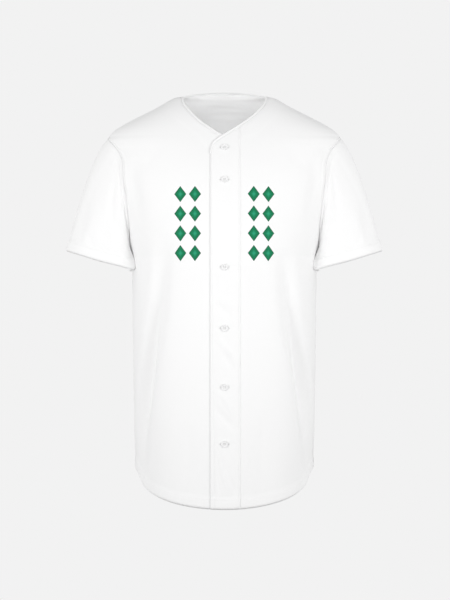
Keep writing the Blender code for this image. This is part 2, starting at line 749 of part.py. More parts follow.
def main():
    cutters = collection("cutters")
    cloth = material("white polyester", (0.90, 0.90, 0.90), 0.85)
    band = material("white polyester, double", (0.92, 0.92, 0.92), 0.85)
    plastic = material("white moulded plastic", (0.88, 0.88, 0.88), 0.35)
    panels = {
        "front_left": (LEFT_COLUMNS, front_left_place),
        "front_right": (RIGHT_COLUMNS, front_right_place),
        "back": (BACK_COLUMNS, back_place),
    }
    for name, (columns, place) in panels.items():
        rows = PANEL_ROWS + HEM_ROWS
        cloth_piece(name, columns, rows, place, torso, cloth, CLOTH, PANEL_ROWS)
    sleeves = {
        "sleeve_left": (left_sleeve_place, sleeve),
        "sleeve_right": (right_sleeve_place, mirrored_sleeve),
    }
    for name, (place, surface) in sleeves.items():
        rows = SLEEVE_ROWS + HEM_ROWS
        cloth_piece(name, 2 * ARMHOLE_ROWS, rows, place, surface, cloth, CLOTH, SLEEVE_ROWS)
    rows = PLACKET_ROWS + HEM_ROWS
    cloth_piece("placket", PLACKET_COLUMNS, rows, placket_place, torso, band, PLACKET_CLOTH)
    make_neck_binding(band)
    turned_button = button_mesh()
    turned_button.materials.append(plastic)
    for number, height in enumerate(BUTTON_HEIGHTS, start=1):
        make_button(f"button_{number}", height, turned_button, cutters)


main()
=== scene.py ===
"""The cloth, seams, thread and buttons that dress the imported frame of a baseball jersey.

Metres, +Z up. The front faces -Y and the wearer's left is at +X. The origin is midway
between the two side-neck points.

A turn is an angle round the torso in degrees: 0 at the middle of the front, 90 at the
wearer's left side seam, 180 at the middle of the back and 270, or -90, at the right.
"""

import math
from collections import namedtuple

import bmesh
import bpy
import numpy as np
from bpy.props import FloatProperty, PointerProperty, StringProperty
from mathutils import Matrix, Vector


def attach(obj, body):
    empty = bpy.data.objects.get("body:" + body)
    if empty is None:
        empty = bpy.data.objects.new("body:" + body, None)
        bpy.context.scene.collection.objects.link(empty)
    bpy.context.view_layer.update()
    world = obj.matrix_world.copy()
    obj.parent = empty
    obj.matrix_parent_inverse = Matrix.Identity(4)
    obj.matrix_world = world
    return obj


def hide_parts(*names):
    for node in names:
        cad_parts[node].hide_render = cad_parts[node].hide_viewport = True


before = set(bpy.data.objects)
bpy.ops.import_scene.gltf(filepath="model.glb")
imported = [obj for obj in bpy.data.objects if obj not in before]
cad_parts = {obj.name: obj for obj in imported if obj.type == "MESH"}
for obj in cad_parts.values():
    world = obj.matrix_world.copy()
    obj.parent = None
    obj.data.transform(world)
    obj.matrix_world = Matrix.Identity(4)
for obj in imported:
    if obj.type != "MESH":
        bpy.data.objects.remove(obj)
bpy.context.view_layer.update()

bl_info = {
    "name": "Baseball Jersey",
    "version": (1, 0, 0),
    "blender": (4, 5, 0),
    "location": "3D View > Sidebar > Jersey",
    "description": "Dresses the frame of a white baseball jersey and sets up its stage",
    "category": "Object",
}

# The torso, as the frame's solids have it
SQUARENESS = 2.4
Section = namedtuple("Section", "height half_width front back")
SECTIONS = [
    Section(0.0140, 0.0660, 0.0240, 0.0620),
    Section(0.0000, 0.0785, 0.0300, 0.0590),
    Section(-0.0025, 0.0940, 0.0330, 0.0610),
    Section(-0.0095, 0.1080, 0.0410, 0.0660),
    Section(-0.0247, 0.1350, 0.0550, 0.0740),
    Section(-0.0399, 0.1650, 0.0655, 0.0820),
    Section(-0.0551, 0.1935, 0.0745, 0.0895),
    Section(-0.0665, 0.2105, 0.0806, 0.0950),
    Section(-0.0780, 0.2195, 0.0866, 0.1000),
    Section(-0.0935, 0.2085, 0.0943, 0.1060),
    Section(-0.1060, 0.1985, 0.1000, 0.1103),
    Section(-0.1310, 0.1900, 0.1105, 0.1175),
    Section(-0.1600, 0.1880, 0.1205, 0.1235),
    Section(-0.1900, 0.1830, 0.1285, 0.1275),
    Section(-0.2215, 0.1802, 0.1345, 0.1295),
    Section(-0.2500, 0.1780, 0.1380, 0.1300),
    Section(-0.2850, 0.1772, 0.1400, 0.1297),
    Section(-0.3080, 0.1766, 0.1409, 0.1294),
    Section(-0.3300, 0.1753, 0.1415, 0.1290),
    Section(-0.4500, 0.1735, 0.1410, 0.1270),
    Section(-0.6000, 0.1715, 0.1385, 0.1260),
    Section(-0.7000, 0.1690, 0.1365, 0.1255),
    Section(-0.7900, 0.1670, 0.1355, 0.1250),
]
TIP_HEIGHT = -0.0780
UNDERARM_HEIGHT = -0.3050
ARMHOLE_DEPTH = 0.070
ARMHOLE_TOP_SQUARENESS = 2.6
ARMHOLE_BOTTOM_SQUARENESS = 2.2
NeckPoint = namedtuple("NeckPoint", "share across height")
NECK_EDGE = [
    NeckPoint(-0.3, -0.0262, -0.1050),
    NeckPoint(-0.2, -0.0212, -0.0935),
    NeckPoint(-0.1, -0.0115, -0.0855),
    NeckPoint(0.0, 0.0000, -0.0780),
    NeckPoint(0.2, 0.0206, -0.0648),
    NeckPoint(0.4, 0.0421, -0.0499),
    NeckPoint(0.6, 0.0611, -0.0318),
    NeckPoint(0.8, 0.0741, -0.0144),
    NeckPoint(1.0, 0.0785, 0.0000),
]
NECK_CORNER = NECK_EDGE[0].share
NECK_HALF_WIDTH = NECK_EDGE[-1].across
VEE_SHIFT = -0.0026
INSET_TURNS = (0.35, 0.70)
BACK_RIM_RISE = 0.0133
BACK_RIM_POWER = 0.9
BINDING_WIDTH = 0.0040
PLACKET_EDGE = -0.0262
PLACKET_SEAM = 0.0292
PLACKET_TOP = -0.0650  # of its seam
LAP_RISE = 0.0024
LAP_END = 0.0750
UNDERLAP_EDGE = 0.0250
HEM_SIDE = -0.7065
HEM_MIDDLE = -0.7720
HemPoint = namedtuple("HemPoint", "level bow")
HEM_CURVE = [
    HemPoint(0.0, 0.0),
    HemPoint(0.12, 0.02),
    HemPoint(0.25, 0.09),
    HemPoint(0.35, 0.24),
    HemPoint(0.49, 0.49),
    HemPoint(0.68, 0.70),
    HemPoint(0.784, 0.80),
    HemPoint(1.0, 1.0),
]
HEM_WIDTH = 0.0210

# Rows and columns of the frame's solids. The cloth has several to each of these.
SHOULDER_ROWS = 5
ARMHOLE_ROWS = 12
SIDE_ROWS = 14
PANEL_ROWS = SHOULDER_ROWS + ARMHOLE_ROWS + SIDE_ROWS
SHOULDER_SPACING = 1.2
MIDDLE_AT_TIP = -0.150
MIDDLE_AT_UNDERARM = -0.350
NECK_FADE_ROWS = 14
PULL_POWER = 2
PULL_STEEPEST = 60
PULL_LEAST = 1.5
LEVEL_POWER = 3
ROWS_EACH = 8
HEM_FINE_ROWS = 9
RIGHT_COLUMNS = 102
LEFT_COLUMNS = 84
BACK_COLUMNS = 160
PLACKET_COLUMNS = 26
PLACKET_FINE_ROWS = 300
BINDING_COLUMNS = 8
BINDING_STEPS = (40, 84, 132, 103)  # placket, left, back and right

MEAN_RADIUS = 0.155  # turns a turn into a distance across a fold
Fold = namedtuple("Fold", "name turns heights width depth")
FOLDS = [
    Fold("right front drape", (-37, -46, -72), (-0.260, -0.430, -0.670), 0.018, 0.0065),
    Fold("left front drape", (37, 47, 73), (-0.290, -0.450, -0.640), 0.018, 0.0065),
    Fold("right chest", (-50, -53, -55), (-0.120, -0.180, -0.245), 0.013, 0.0030),
    Fold("left chest", (50, 53, 55), (-0.120, -0.180, -0.240), 0.013, 0.0030),
    Fold("left back drape", (138, 133, 114), (-0.230, -0.420, -0.690), 0.020, 0.0060),
    Fold("right back drape", (221, 228, 247), (-0.250, -0.400, -0.660), 0.018, 0.0070),
    Fold("left back blade", (128, 131, 135), (-0.120, -0.180, -0.250), 0.014, 0.0035),
    Fold("right back blade", (232, 229, 226), (-0.115, -0.170, -0.235), 0.014, 0.0035),
    Fold("small of the back", (176, 170, 163), (-0.400, -0.550, -0.730), 0.022, 0.0040),
]
RIDGE_SHARE = 0.45
RIDGE_OFFSET = 1.7  # in trough widths
FOLD_FADE_POWER = 0.7  # under 1, a fold keeps its depth nearer to its ends

# Sleeves, for the wearer's left
SLEEVE_HEM_CENTRE = (0.2394, 0.0, -0.3118)
SLEEVE_HEM_HALF_WIDTH = 0.0644
SLEEVE_HEM_HALF_DEPTH = 0.0660
SLEEVE_OUTER_SQUARENESS = 2.2
SLEEVE_INNER_SQUARENESS = 6.0
SLEEVE_TILT = math.radians(17.1)
SLEEVE_CAP_FALL = math.radians(44)
SLEEVE_CAP_PULL = 0.62
SLEEVE_LENGTH = 0.232
SLEEVE_ROUND = 0.420
SLEEVE_RADIUS = 0.066
SLEEVE_COLUMNS = 144
SLEEVE_FINE_ROWS = 84
SLEEVE_ROW_POWER = 0.9  # under 1, rows are closer at the hem
SleeveFold = namedtuple("SleeveFold", "name around along width depth")
SLEEVE_FOLDS = [
    SleeveFold("beside the seam", (0.16, 0.27), (0.10, 0.55), 0.010, 0.0030),
    SleeveFold("elbow side", (0.10, 0.15), (0.55, 0.93), 0.014, 0.0030),
    SleeveFold("back of the arm", (0.84, 0.72), (0.15, 0.80), 0.013, 0.0035),
]

# Buttons
BUTTON_ACROSS = 0.0004
BUTTON_HEIGHTS = [-0.1034, -0.1641, -0.3250, -0.4372, -0.5457, -0.6506]
BUTTON_GAP = 0.0003

# Steps over which slopes are taken
STEP = 0.001  # in metres
TURN_STEP = 0.5  # in degrees
NECK_STEP = 0.02  # in shares
AROUND_STEP = 0.004
ALONG_STEP = 0.002


def curve_through(knots):
    """A smooth curve through (place, value) knots that never runs past them."""
    places, values = (np.array(part, dtype=float) for part in zip(*sorted(knots)))
    gaps = np.diff(places)
    slopes = np.diff(values) / gaps
    same_way = slopes[:-1] * slopes[1:] > 0
    total = np.where(same_way, slopes[:-1] + slopes[1:], 1.0)
    inner = np.where(same_way, 2 * slopes[:-1] * slopes[1:] / total, 0.0)
    tangents = np.concatenate([slopes[:1], inner, slopes[-1:]])

    def value(place):
        i = np.clip(np.searchsorted(places, place, side="right") - 1, 0, len(gaps) - 1)
        t = np.clip((place - places[i]) / gaps[i], 0.0, 1.0)
        start = (1 + 2 * t) * (1 - t) ** 2 * values[i] + t * (1 - t) ** 2 * gaps[i] * tangents[i]
        end = t * t * (3 - 2 * t) * values[i + 1] - t * t * (1 - t) * gaps[i] * tangents[i + 1]
        return start + end

    return value


half_width_at = curve_through([(s.height, s.half_width) for s in SECTIONS])
front_depth_at = curve_through([(s.height, s.front) for s in SECTIONS])
back_depth_at = curve_through([(s.height, s.back) for s in SECTIONS])
neck_across_at = curve_through([(p.share, p.across) for p in NECK_EDGE])
neck_height_at = curve_through([(p.share, p.height) for p in NECK_EDGE])
hem_bow_at = curve_through([(p.level, p.bow) for p in HEM_CURVE])


def blend(a, b, share):
    return a + (b - a) * share


def smooth_step(share):
    share = np.clip(share, 0.0, 1.0)
    return share * share * (3 - 2 * share)


def bump(off):
    """A soft hump, 1 at 0 and fading by about 2."""
    return np.exp(-off * off)


def rounded(share, power=SQUARENESS):
    """How deep a squarish round still is at this share of its width."""
    return (1 - share**power) ** (1 / power)


def wrapped(turn):
    """The same turn, as -90 to 270."""
    return (turn + 90) % 360 - 90


def inverse(function, low, high, count=4000):
    """The inverse of a rising function, as a table between low and high."""
    places = np.linspace(low, high, count)
    values = np.maximum.accumulate(function(places))
    return lambda wanted: np.interp(wanted, values, places)


def armhole_depth_at(height):
    middle = (TIP_HEIGHT + UNDERARM_HEIGHT) / 2
    reach = (TIP_HEIGHT - UNDERARM_HEIGHT) / 2
    share = np.minimum(np.abs(height - middle) / reach, 1.0)
    power = np.where(height > middle, ARMHOLE_TOP_SQUARENESS, ARMHOLE_BOTTOM_SQUARENESS)
    return ARMHOLE_DEPTH * rounded(share, power)


def depth_at(turn, height):
    """Signed depth of the section: negative in front."""
    front = np.cos(np.radians(turn)) > 0
    return np.where(front, -front_depth_at(height), back_depth_at(height))


def full_width_at(turn, height):
    """Half the width of the whole round, from which an armhole cuts off the end."""
    share = armhole_depth_at(height) / np.abs(depth_at(turn, height))
    return half_width_at(height) / rounded(share)


def turn_of(across, height, front=True):
    """The turn at which the section at this height is this far from the middle."""
    share = np.clip(across / full_width_at(0 if front else 180, height), -1.0, 1.0)
    turn = np.degrees(np.arcsin(share))
    return turn if front else 180 - turn


def fold_relief(turn, height, folds):
    """How far these folds move the cloth out at a place on the torso."""
    moved = np.zeros(np.broadcast(turn, height).shape)
    for fold in folds:
        top, _, bottom = fold.heights
        inside = (height > bottom) & (height < top)
        path = curve_through(list(zip(fold.heights, fold.turns)))
        outer_side = 1 if fold.turns[2] > fold.turns[0] else -1
        off = np.radians(turn - path(height)) * MEAN_RADIUS * outer_side / fold.width
        along = np.clip((top - height) / (top - bottom), 0.0, 1.0)
        fade = np.where(inside, np.sin(math.pi * along) ** FOLD_FADE_POWER, 0.0)
        moved = moved + fold.depth * fade * (RIDGE_SHARE * bump(off - RIDGE_OFFSET) - bump(off))
    return moved


def bare_torso(turn, height):
    """Points of the torso's outline, before the folds."""
    angle = np.radians(turn)
    share = np.minimum(np.abs(np.sin(angle)), 1.0)
    across = full_width_at(turn, height) * np.sin(angle)
    depth = depth_at(turn, height) * rounded(share)
    return np.stack(np.broadcast_arrays(across, depth, height), axis=-1)


def unit(vectors):
    return vectors / np.maximum(np.linalg.norm(vectors, axis=-1, keepdims=True), 1e-12)


def outward(place, a, b, step_a, step_b):
    """The outward direction of the surface place(a, b), from its slopes."""
    across = place(a + step_a, b) - place(a - step_a, b)
    up = place(a, b + step_b) - place(a, b - step_b)
    return unit(np.cross(across, up))


def torso_outward(turn, height):
    """The outward direction of the torso's cloth, before the folds."""
    return outward(bare_torso, turn, height, TURN_STEP, STEP)


def torso(turn, height, out=0.0):
    """Points of the cloth on the torso, moved out by this much."""
    turn = wrapped(turn)
    normal = torso_outward(turn, height)
    moved = fold_relief(turn, height, FOLDS) + out
    return bare_torso(turn, height) + normal * moved[..., None]


def hem_height(turn):
    return blend(HEM_SIDE, HEM_MIDDLE, hem_bow_at(np.abs(np.cos(np.radians(turn)))))


drop_at_width = inverse(lambda drop: half_width_at(-drop), 0.0, -TIP_HEIGHT)


def shoulder_height(across):
    return -drop_at_width(across)


def neck_point(side, share, inset):
    """(across, height) of a front's neck edge, drawn back by inset from the opening."""
    shift = side * VEE_SHIFT * smooth_step(np.where(share > 0, 1 - share, 1 - share / NECK_CORNER))
    run = neck_across_at(share + NECK_STEP) - neck_across_at(share - NECK_STEP)
    rise = neck_height_at(share + NECK_STEP) - neck_height_at(share - NECK_STEP)
    size = np.hypot(run, rise)
    start, end = INSET_TURNS
    square = smooth_step((share - start) / (end - start))
    down = blend(size / run, run / size, square)
    across = neck_across_at(share) + shift + inset * square * rise / size
    return across, neck_height_at(share) - inset * down


neck_share = {
    side: inverse(lambda share, side=side: neck_point(side, share, 0.0)[0], NECK_CORNER, 1.0)
    for side in (1, -1)
}


def front_neck(side, share, inset):
    """(turn, height) of a front's neck edge, drawn back by inset from the opening."""
    share = np.asarray(share, dtype=float)
    across, height = neck_point(side, share, inset)
    height = np.where(share >= 1, shoulder_height(NECK_HALF_WIDTH + inset), height)
    turn = np.where(share >= 1, 90.0, turn_of(across, height))
    return side * turn, height


def back_neck(share, inset):
    """(turn, height) of the back neck edge, from the left side neck to the right."""
    turn = blend(90.0, 270.0, np.asarray(share, dtype=float))
    bow = np.abs(np.cos(np.radians(turn))) ** BACK_RIM_POWER
    side_height = shoulder_height(NECK_HALF_WIDTH + inset)
    return turn, blend(side_height, BACK_RIM_RISE - inset, bow)


def armhole_height_at(share):
    """Height on an armhole's seam, from the shoulder tip at 0 to the underarm at 1."""
    return blend(TIP_HEIGHT, UNDERARM_HEIGHT, (1 - np.cos(math.pi * share)) / 2)


def armhole_seam(around, share):
    """(turn, height) on the left armhole's seam, in front of the arm up to around 0.5."""
    height = armhole_height_at(share)
    front, back = (turn_of(half_width_at(height), height, side) for side in (True, False))
    return np.where(around <= 0.5, front, back), height


def row_height(row):
    """Height of a panel's rows at its outer edge: shoulder, armhole, then side seam."""
    top = shoulder_height(NECK_HALF_WIDTH + BINDING_WIDTH)
    shoulder = blend(top, TIP_HEIGHT, np.clip(row / SHOULDER_ROWS, 0, 1) ** SHOULDER_SPACING)
    share = np.clip((row - SHOULDER_ROWS) / ARMHOLE_ROWS, 0, 1)
    armhole = armhole_height_at(share)
    share = np.clip((row - SHOULDER_ROWS - ARMHOLE_ROWS) / SIDE_ROWS, 0, 1)
    side = blend(UNDERARM_HEIGHT, HEM_SIDE + HEM_WIDTH, share)
    height = np.where(row <= SHOULDER_ROWS, shoulder, armhole)
    return np.where(row <= SHOULDER_ROWS + ARMHOLE_ROWS, height, side)


def middle_height(row, top):
    """Height of a front's rows at its inner edge, below its neck edge at top."""
    rows = [0, SHOULDER_ROWS, SHOULDER_ROWS + ARMHOLE_ROWS, PANEL_ROWS]
    heights = [top, MIDDLE_AT_TIP, MIDDLE_AT_UNDERARM, HEM_MIDDLE + HEM_WIDTH]
    return np.interp(row, rows, heights)


def outer_edge(side, row, front=True):
    """(turn, height) of a panel's shoulder seam, armhole and side seam."""
    height = row_height(row)
    on_armhole = (row > SHOULDER_ROWS) & (row < SHOULDER_ROWS + ARMHOLE_ROWS)
    turn = np.where(on_armhole, turn_of(half_width_at(height), height, front), 90.0)
    return side * turn if side > 0 or front else 360 - turn, height


def pull_at(pull, share):
    """How far the armhole pulls a row inwards; a small pull stays close to the edge."""
    power = np.maximum(PULL_POWER, PULL_STEEPEST / np.maximum(np.abs(pull), PULL_LEAST))
    return pull * share**power


def along_front_row(side, share, row, inner):
    """(turn, height) on a front's rows, from its inner edge to its outer one."""
    start, end = inner(row), outer_edge(side, row)
    turn = blend(start[0], side * 90, share) + pull_at(end[0] - side * 90, share)
    return turn, blend(end[1], start[1], (1 - share) ** LEVEL_POWER)


def panel_places(share, outer_share, along_row, top):
    """(turns, heights) of a panel's grid, from the neck down to its hem's edge."""
    row = np.linspace(0.0, PANEL_ROWS, PANEL_ROWS * ROWS_EACH + 1)[:, None]
    turn, height = along_row(share, row)
    fade_rows = blend(NECK_FADE_ROWS, SHOULDER_ROWS, outer_share)
    fade = np.maximum(0.0, 1 - row / fade_rows) ** 2
    neck = top(share)
    hem_bow = hem_height(turn[-1:]) + HEM_WIDTH - height[-1:]
    bows = [fade * (neck[axis] - along_row(share, row[:1])[axis]) for axis in range(2)]
    turn = turn + bows[0]
    height = height + bows[1] + hem_bow * row / PANEL_ROWS
    hem_share = np.linspace(0.0, 1.0, HEM_FINE_ROWS + 1)[1:, None]
    hem_turns = np.repeat(turn[-1:], HEM_FINE_ROWS, axis=0)
    hem_heights = hem_height(hem_turns) + HEM_WIDTH * (1 - hem_share)
    return np.vstack([turn, hem_turns]), np.vstack([height, hem_heights])


def lap_rise(across):
    """How far the left front stands out, to lie over the right one."""
    return LAP_RISE * smooth_step((LAP_END - across) / (LAP_END - PLACKET_SEAM))


def front_places(side, edge, columns):
    """(turns, heights) of a front's grid, from its inner edge, this far past the middle."""
    start = float(neck_share[side](side * edge))
    top_height = front_neck(side, start, BINDING_WIDTH)[1]

    def inner(row):
        height = middle_height(row, top_height)
        return turn_of(edge, height), height

    share = np.linspace((1 - side) / 2, (1 + side) / 2, columns + 1)[None, :]
    return panel_places(
        share,
        share,
        lambda share, row: along_front_row(side, share, row, inner),
        lambda share: front_neck(side, blend(start, 1.0, share), BINDING_WIDTH),
    )


def along_back_row(share, row):
    """(turn, height) on the back's rows, from the wearer's left edge to the right one."""
    turn, height = outer_edge(1, row, front=False)
    pull = pull_at(turn - 90, np.abs(1 - 2 * share))
    return blend(90, 270, share) + pull * np.sign(1 - 2 * share), height + 0 * share


def back_places():
    share = np.linspace(0.0, 1.0, BACK_COLUMNS + 1)[None, :]
    return panel_places(
        share,
        np.abs(1 - 2 * share),
        along_back_row,
        lambda share: back_neck(share, BINDING_WIDTH),
    )


def placket_places():
    across = np.linspace(PLACKET_EDGE, PLACKET_SEAM, PLACKET_COLUMNS + 1)[None, :]
    top = neck_point(1, neck_share[1](across), BINDING_WIDTH)[1]
    edge = hem_height(turn_of(across, HEM_MIDDLE))
    share = np.linspace(0.0, 1.0, PLACKET_FINE_ROWS + 1)[:, None]
    height = blend(top, edge, share)
    return turn_of(across, height), height


def binding_places():
    """(turns, heights, rise) of the binding, from the placket's corner all round the neck."""
    placket_steps, left_steps, back_steps, right_steps = BINDING_STEPS
    left = np.concatenate([
        neck_share[1](np.linspace(PLACKET_EDGE, PLACKET_SEAM, placket_steps, endpoint=False)),
        np.linspace(float(neck_share[1](PLACKET_SEAM)), 1.0, left_steps, endpoint=False),
    ])
    back = np.linspace(0.0, 1.0, back_steps, endpoint=False)
    right = np.linspace(1.0, float(neck_share[-1](-UNDERLAP_EDGE)), right_steps)
    edges = []
    for inset in (0.0, BINDING_WIDTH):
        runs = front_neck(1, left, inset), back_neck(back, inset), front_neck(-1, right, inset)
        edges.append([np.concatenate([run[axis] for run in runs]) for axis in range(2)])
    right_turns = edges[0][0][-right_steps:]
    right_turns += 360 * (right_turns < -90)
    rise = np.zeros(len(edges[0][0]))
    rise[: len(left)] = lap_rise(neck_point(1, left, 0.0)[0])
    return edges, rise


def sleeve_axis(fall):
    return np.stack(np.broadcast_arrays(np.sin(fall), 0.0, -np.cos(fall)), axis=-1)


def hem_ring(angle):
    """Points on the left sleeve's hem: an oval that follows the body on its inner side."""
    across, deep = np.cos(angle), np.sin(angle)
    power = 2 / np.where(across < 0, SLEEVE_INNER_SQUARENESS, SLEEVE_OUTER_SQUARENESS)
    across = np.sign(across) * np.abs(across) ** power
    x = SLEEVE_HEM_CENTRE[0] + math.cos(SLEEVE_TILT) * SLEEVE_HEM_HALF_WIDTH * across
    y = -SLEEVE_HEM_HALF_DEPTH * np.sign(deep) * np.abs(deep) ** power
    z = SLEEVE_HEM_CENTRE[2] + math.sin(SLEEVE_TILT) * SLEEVE_HEM_HALF_WIDTH * across
    depth = np.abs(depth_at(np.where(y < 0, 0, 180), z))
    curve = 1 - rounded(np.abs(y) / depth)
    return np.stack([x - half_width_at(z) * curve * np.maximum(0.0, -across), y, z], axis=-1)


def bare_sleeve(around, along):
    """Points of the left sleeve's outline, before its folds."""
    around = np.asarray(around) % 1.0
    share = np.minimum(around, 1 - around) * 2
    turn, height = armhole_seam(around, share)
    turn = np.where((share <= 0) | (share >= 1), 90.0, turn)
    seam = torso(turn, height)
    hem = hem_ring(math.tau * around)
    length = np.linalg.norm(hem - seam, axis=-1)
    fall = blend(SLEEVE_CAP_FALL, 0.0, smooth_step(share))
    leaving = sleeve_axis(fall) * (length * blend(SLEEVE_CAP_PULL, 1.0, share))[..., None]
    arriving = sleeve_axis(SLEEVE_TILT * (1 - share)) * length[..., None]
    t = np.asarray(along)[..., None]
    start = seam * (1 + 2 * t) * (1 - t) ** 2 + leaving * t * (1 - t) ** 2
    return start + hem * t * t * (3 - 2 * t) - arriving * t * t * (1 - t)


def sleeve_relief(around, along, folds):
    """How far these folds move a sleeve's cloth out."""
    moved = np.zeros(np.broadcast(around, along).shape)
    for fold in folds:
        start, end = fold.along
        share = np.clip((along - start) / (end - start), 0.0, 1.0)
        off = (around - blend(*fold.around, share)) * math.tau * SLEEVE_RADIUS / fold.width
        moved = moved - fold.depth * np.sin(math.pi * share) * bump(off)
    return moved


def sleeve(around, along, out=0.0):
    """Points of the left sleeve's cloth, moved out by this much."""
    inner = np.clip(along, ALONG_STEP, 1 - ALONG_STEP)
    normal = -outward(bare_sleeve, around, inner, AROUND_STEP, -ALONG_STEP)
    moved = sleeve_relief(around, along, SLEEVE_FOLDS) + out
    return bare_sleeve(around, along) + normal * moved[..., None]


# Form that only the cloth has, in metres. A crease's ends are (across, height), and a
# negative depth makes a ridge.
Crease = namedtuple("Crease", "start end bow width depth")
PLACKET_CREASES = [
    Crease((-0.0040, -0.3120), (0.0110, -0.2880), 0.002, 0.0035, 0.0007),
    Crease((-0.0160, -0.3880), (0.0130, -0.4160), -0.003, 0.0060, 0.0016),
    Crease((-0.0030, -0.3800), (0.0180, -0.3960), -0.002, 0.0055, -0.0008),
    Crease((-0.0160, -0.4540), (0.0280, -0.5080), 0.003, 0.0055, -0.0017),
    Crease((-0.0060, -0.4790), (0.0190, -0.5240), 0.002, 0.0060, 0.0013),
    Crease((-0.0080, -0.5560), (0.0160, -0.6000), 0.003, 0.0050, -0.0015),
    Crease((-0.0170, -0.5780), (0.0240, -0.6270), -0.004, 0.0065, 0.0018),
    Crease((-0.0110, -0.6520), (-0.0100, -0.7470), 0.001, 0.0050, 0.0014),
    Crease((0.0100, -0.7120), (0.0220, -0.7480), 0.001, 0.0050, 0.0010),
    Crease((-0.0030, -0.7000), (0.0080, -0.7400), 0.001, 0.0050, -0.0009),
]
FRONT_CREASES = [
    Crease((-0.1160, -0.2900), (-0.1560, -0.7150), -0.006, 0.0130, 0.0050),
    Crease((-0.1310, -0.3900), (-0.1570, -0.7300), -0.004, 0.0110, 0.0075),
    Crease((0.1120, -0.3000), (0.1590, -0.7100), 0.005, 0.0130, 0.0055),
    Crease((0.1290, -0.4000), (0.1600, -0.7250), 0.004, 0.0110, 0.0085),
    Crease((-0.0660, -0.6100), (-0.0740, -0.7450), 0.004, 0.0120, 0.0010),
    Crease((0.0700, -0.5900), (0.0800, -0.7500), -0.004, 0.0130, 0.0011),
    Crease((0.0520, -0.6500), (0.0490, -0.7460), 0.000, 0.0060, 0.0005),
    Crease((-0.1460, -0.3000), (-0.1480, -0.5000), 0.003, 0.0070, 0.0009),
    Crease((0.1520, -0.3300), (0.1500, -0.5400), -0.003, 0.0070, 0.0008),
    Crease((-0.1000, -0.2050), (-0.1520, -0.2600), 0.006, 0.0120, 0.0012),
    Crease((0.1020, -0.2100), (0.1540, -0.2580), -0.006, 0.0120, 0.0012),
    Crease((-0.1220, -0.0900), (-0.1580, -0.1500), 0.004, 0.0100, 0.0009),
    Crease((0.1200, -0.0920), (0.1560, -0.1480), -0.004, 0.0100, 0.0010),
]
BACK_CREASES = [
    Crease((-0.0620, -0.0130), (0.0560, -0.0190), 0.006, 0.0036, 0.0018),
    Crease((-0.0480, -0.0290), (0.0600, -0.0250), 0.005, 0.0034, 0.0017),
    Crease((-0.0600, -0.0400), (0.0400, -0.0430), 0.007, 0.0040, 0.0016),
    Crease((0.0100, -0.0350), (0.0660, -0.0400), 0.004, 0.0030, 0.0014),
    Crease((-0.1180, -0.3000), (-0.1550, -0.7000), -0.006, 0.0130, 0.0070),
    Crease((0.1150, -0.3200), (0.1530, -0.7150), 0.005, 0.0130, 0.0065),
    Crease((-0.1300, -0.1100), (-0.0500, -0.1650), -0.008, 0.0110, 0.0024),
    Crease((0.1260, -0.1050), (0.0560, -0.1700), 0.008, 0.0110, 0.0017),
    Crease((-0.0900, -0.3500), (0.0300, -0.3950), -0.010, 0.0130, 0.0020),
    Crease((0.0950, -0.3700), (-0.0200, -0.4300), 0.010, 0.0130, 0.0019),
    Crease((-0.0700, -0.5400), (-0.0820, -0.7300), 0.006, 0.0120, 0.0018),
    Crease((0.0560, -0.5700), (0.0640, -0.7350), -0.006, 0.0120, 0.0016),
]
SLEEVE_CREASES = [
    SleeveFold("against the body in front", (0.410, 0.372), (0.05, 1.75), 0.014, -0.0080),
    SleeveFold("against the body behind", (0.600, 0.628), (0.15, 1.70), 0.012, -0.0055),
    SleeveFold("above the hem in front", (0.17, 0.24), (0.70, 0.95), 0.009, 0.0012),
    SleeveFold("outer ridge", (0.07, 0.09), (0.20, 0.92), 0.009, -0.0014),
    SleeveFold("under the arm", (0.42, 0.50), (0.15, 0.90), 0.008, 0.0015),
    SleeveFold("behind, above the hem", (0.70, 0.63), (0.55, 0.95), 0.009, 0.0014),
    SleeveFold("cap, behind", (0.90, 0.86), (0.02, 0.45), 0.010, 0.0012),
]
CREASE_FADE_POWER = 0.8
SEAM_DIP = 0.00025
SEAM_SOFTNESS = 0.0014
ALLOWANCE_WIDTH = 0.0100  # of the seam allowance inside, beside the armhole
ALLOWANCE_RISE = 0.0007
ALLOWANCE_STEP = 0.0030  # over which its ridge rises and falls
ALLOWANCE_SINK = 0.12  # how far it lies under the cloth's outer side, in cloth thicknesses
FACING_WIDTH = 0.0300  # of the inner layer round the neck
FACING_RISE = 0.0004
FACING_STEP = 0.0015
HEM_RISE = 0.0012
HEM_STEP = 0.0024  # over which the cloth steps up to a turned hem
LAYER_STEP = 0.0012  # over which its tone changes there
EASE_FROM_SEAM = 0.0120  # of the soft fold that runs beside the armhole on the sleeve
EASE_WIDTH = 0.0055
EASE_DIP = 0.0032
EASE_GAIN = 1.5  # how soon it is at its full depth in front and behind
EASE_START = 0.3
EDGE_ROLL = 0.0042  # how far up a hem's edge starts to roll in
EDGE_ROLL_IN = 0.0040
PLACKET_ROLL = 0.0016  # the same on the placket's edge
PLACKET_ROLL_IN = 0.0008
STITCH_DIP = 0.0007
STITCH_WIDTH = 0.0010
SEAM_STITCHES = 0.0035  # from an edge to its row of stitches
HEM_STITCHES = 0.0180
PLACKET_STITCHES = 0.0085
PUCKER_START = 0.006  # where a button's pull on the placket starts, on each side of it
PUCKER_REACH = 0.0200
PUCKER_FALL = 0.0015
PUCKER_WIDTH = 0.0020
PUCKER_DEPTH = 0.0004
BINDING_THICKNESS = 0.0016
PRINT_CORNER = (0.0405, -0.1720)  # inner upper corner of the printed block, on each side
PRINT_CELL = (0.0275, 0.0364)
PRINT_CELLS = (2, 4)
PRINT_REACH = 0.84  # of a cell that its diamond fills
WELD_DISTANCE = 0.00001
COURSE_SHARE = 0.8  # height of a knitted loop, in its widths
WAVE_SCALE = 20  # by which Blender's wave texture repeats faster than its Scale says
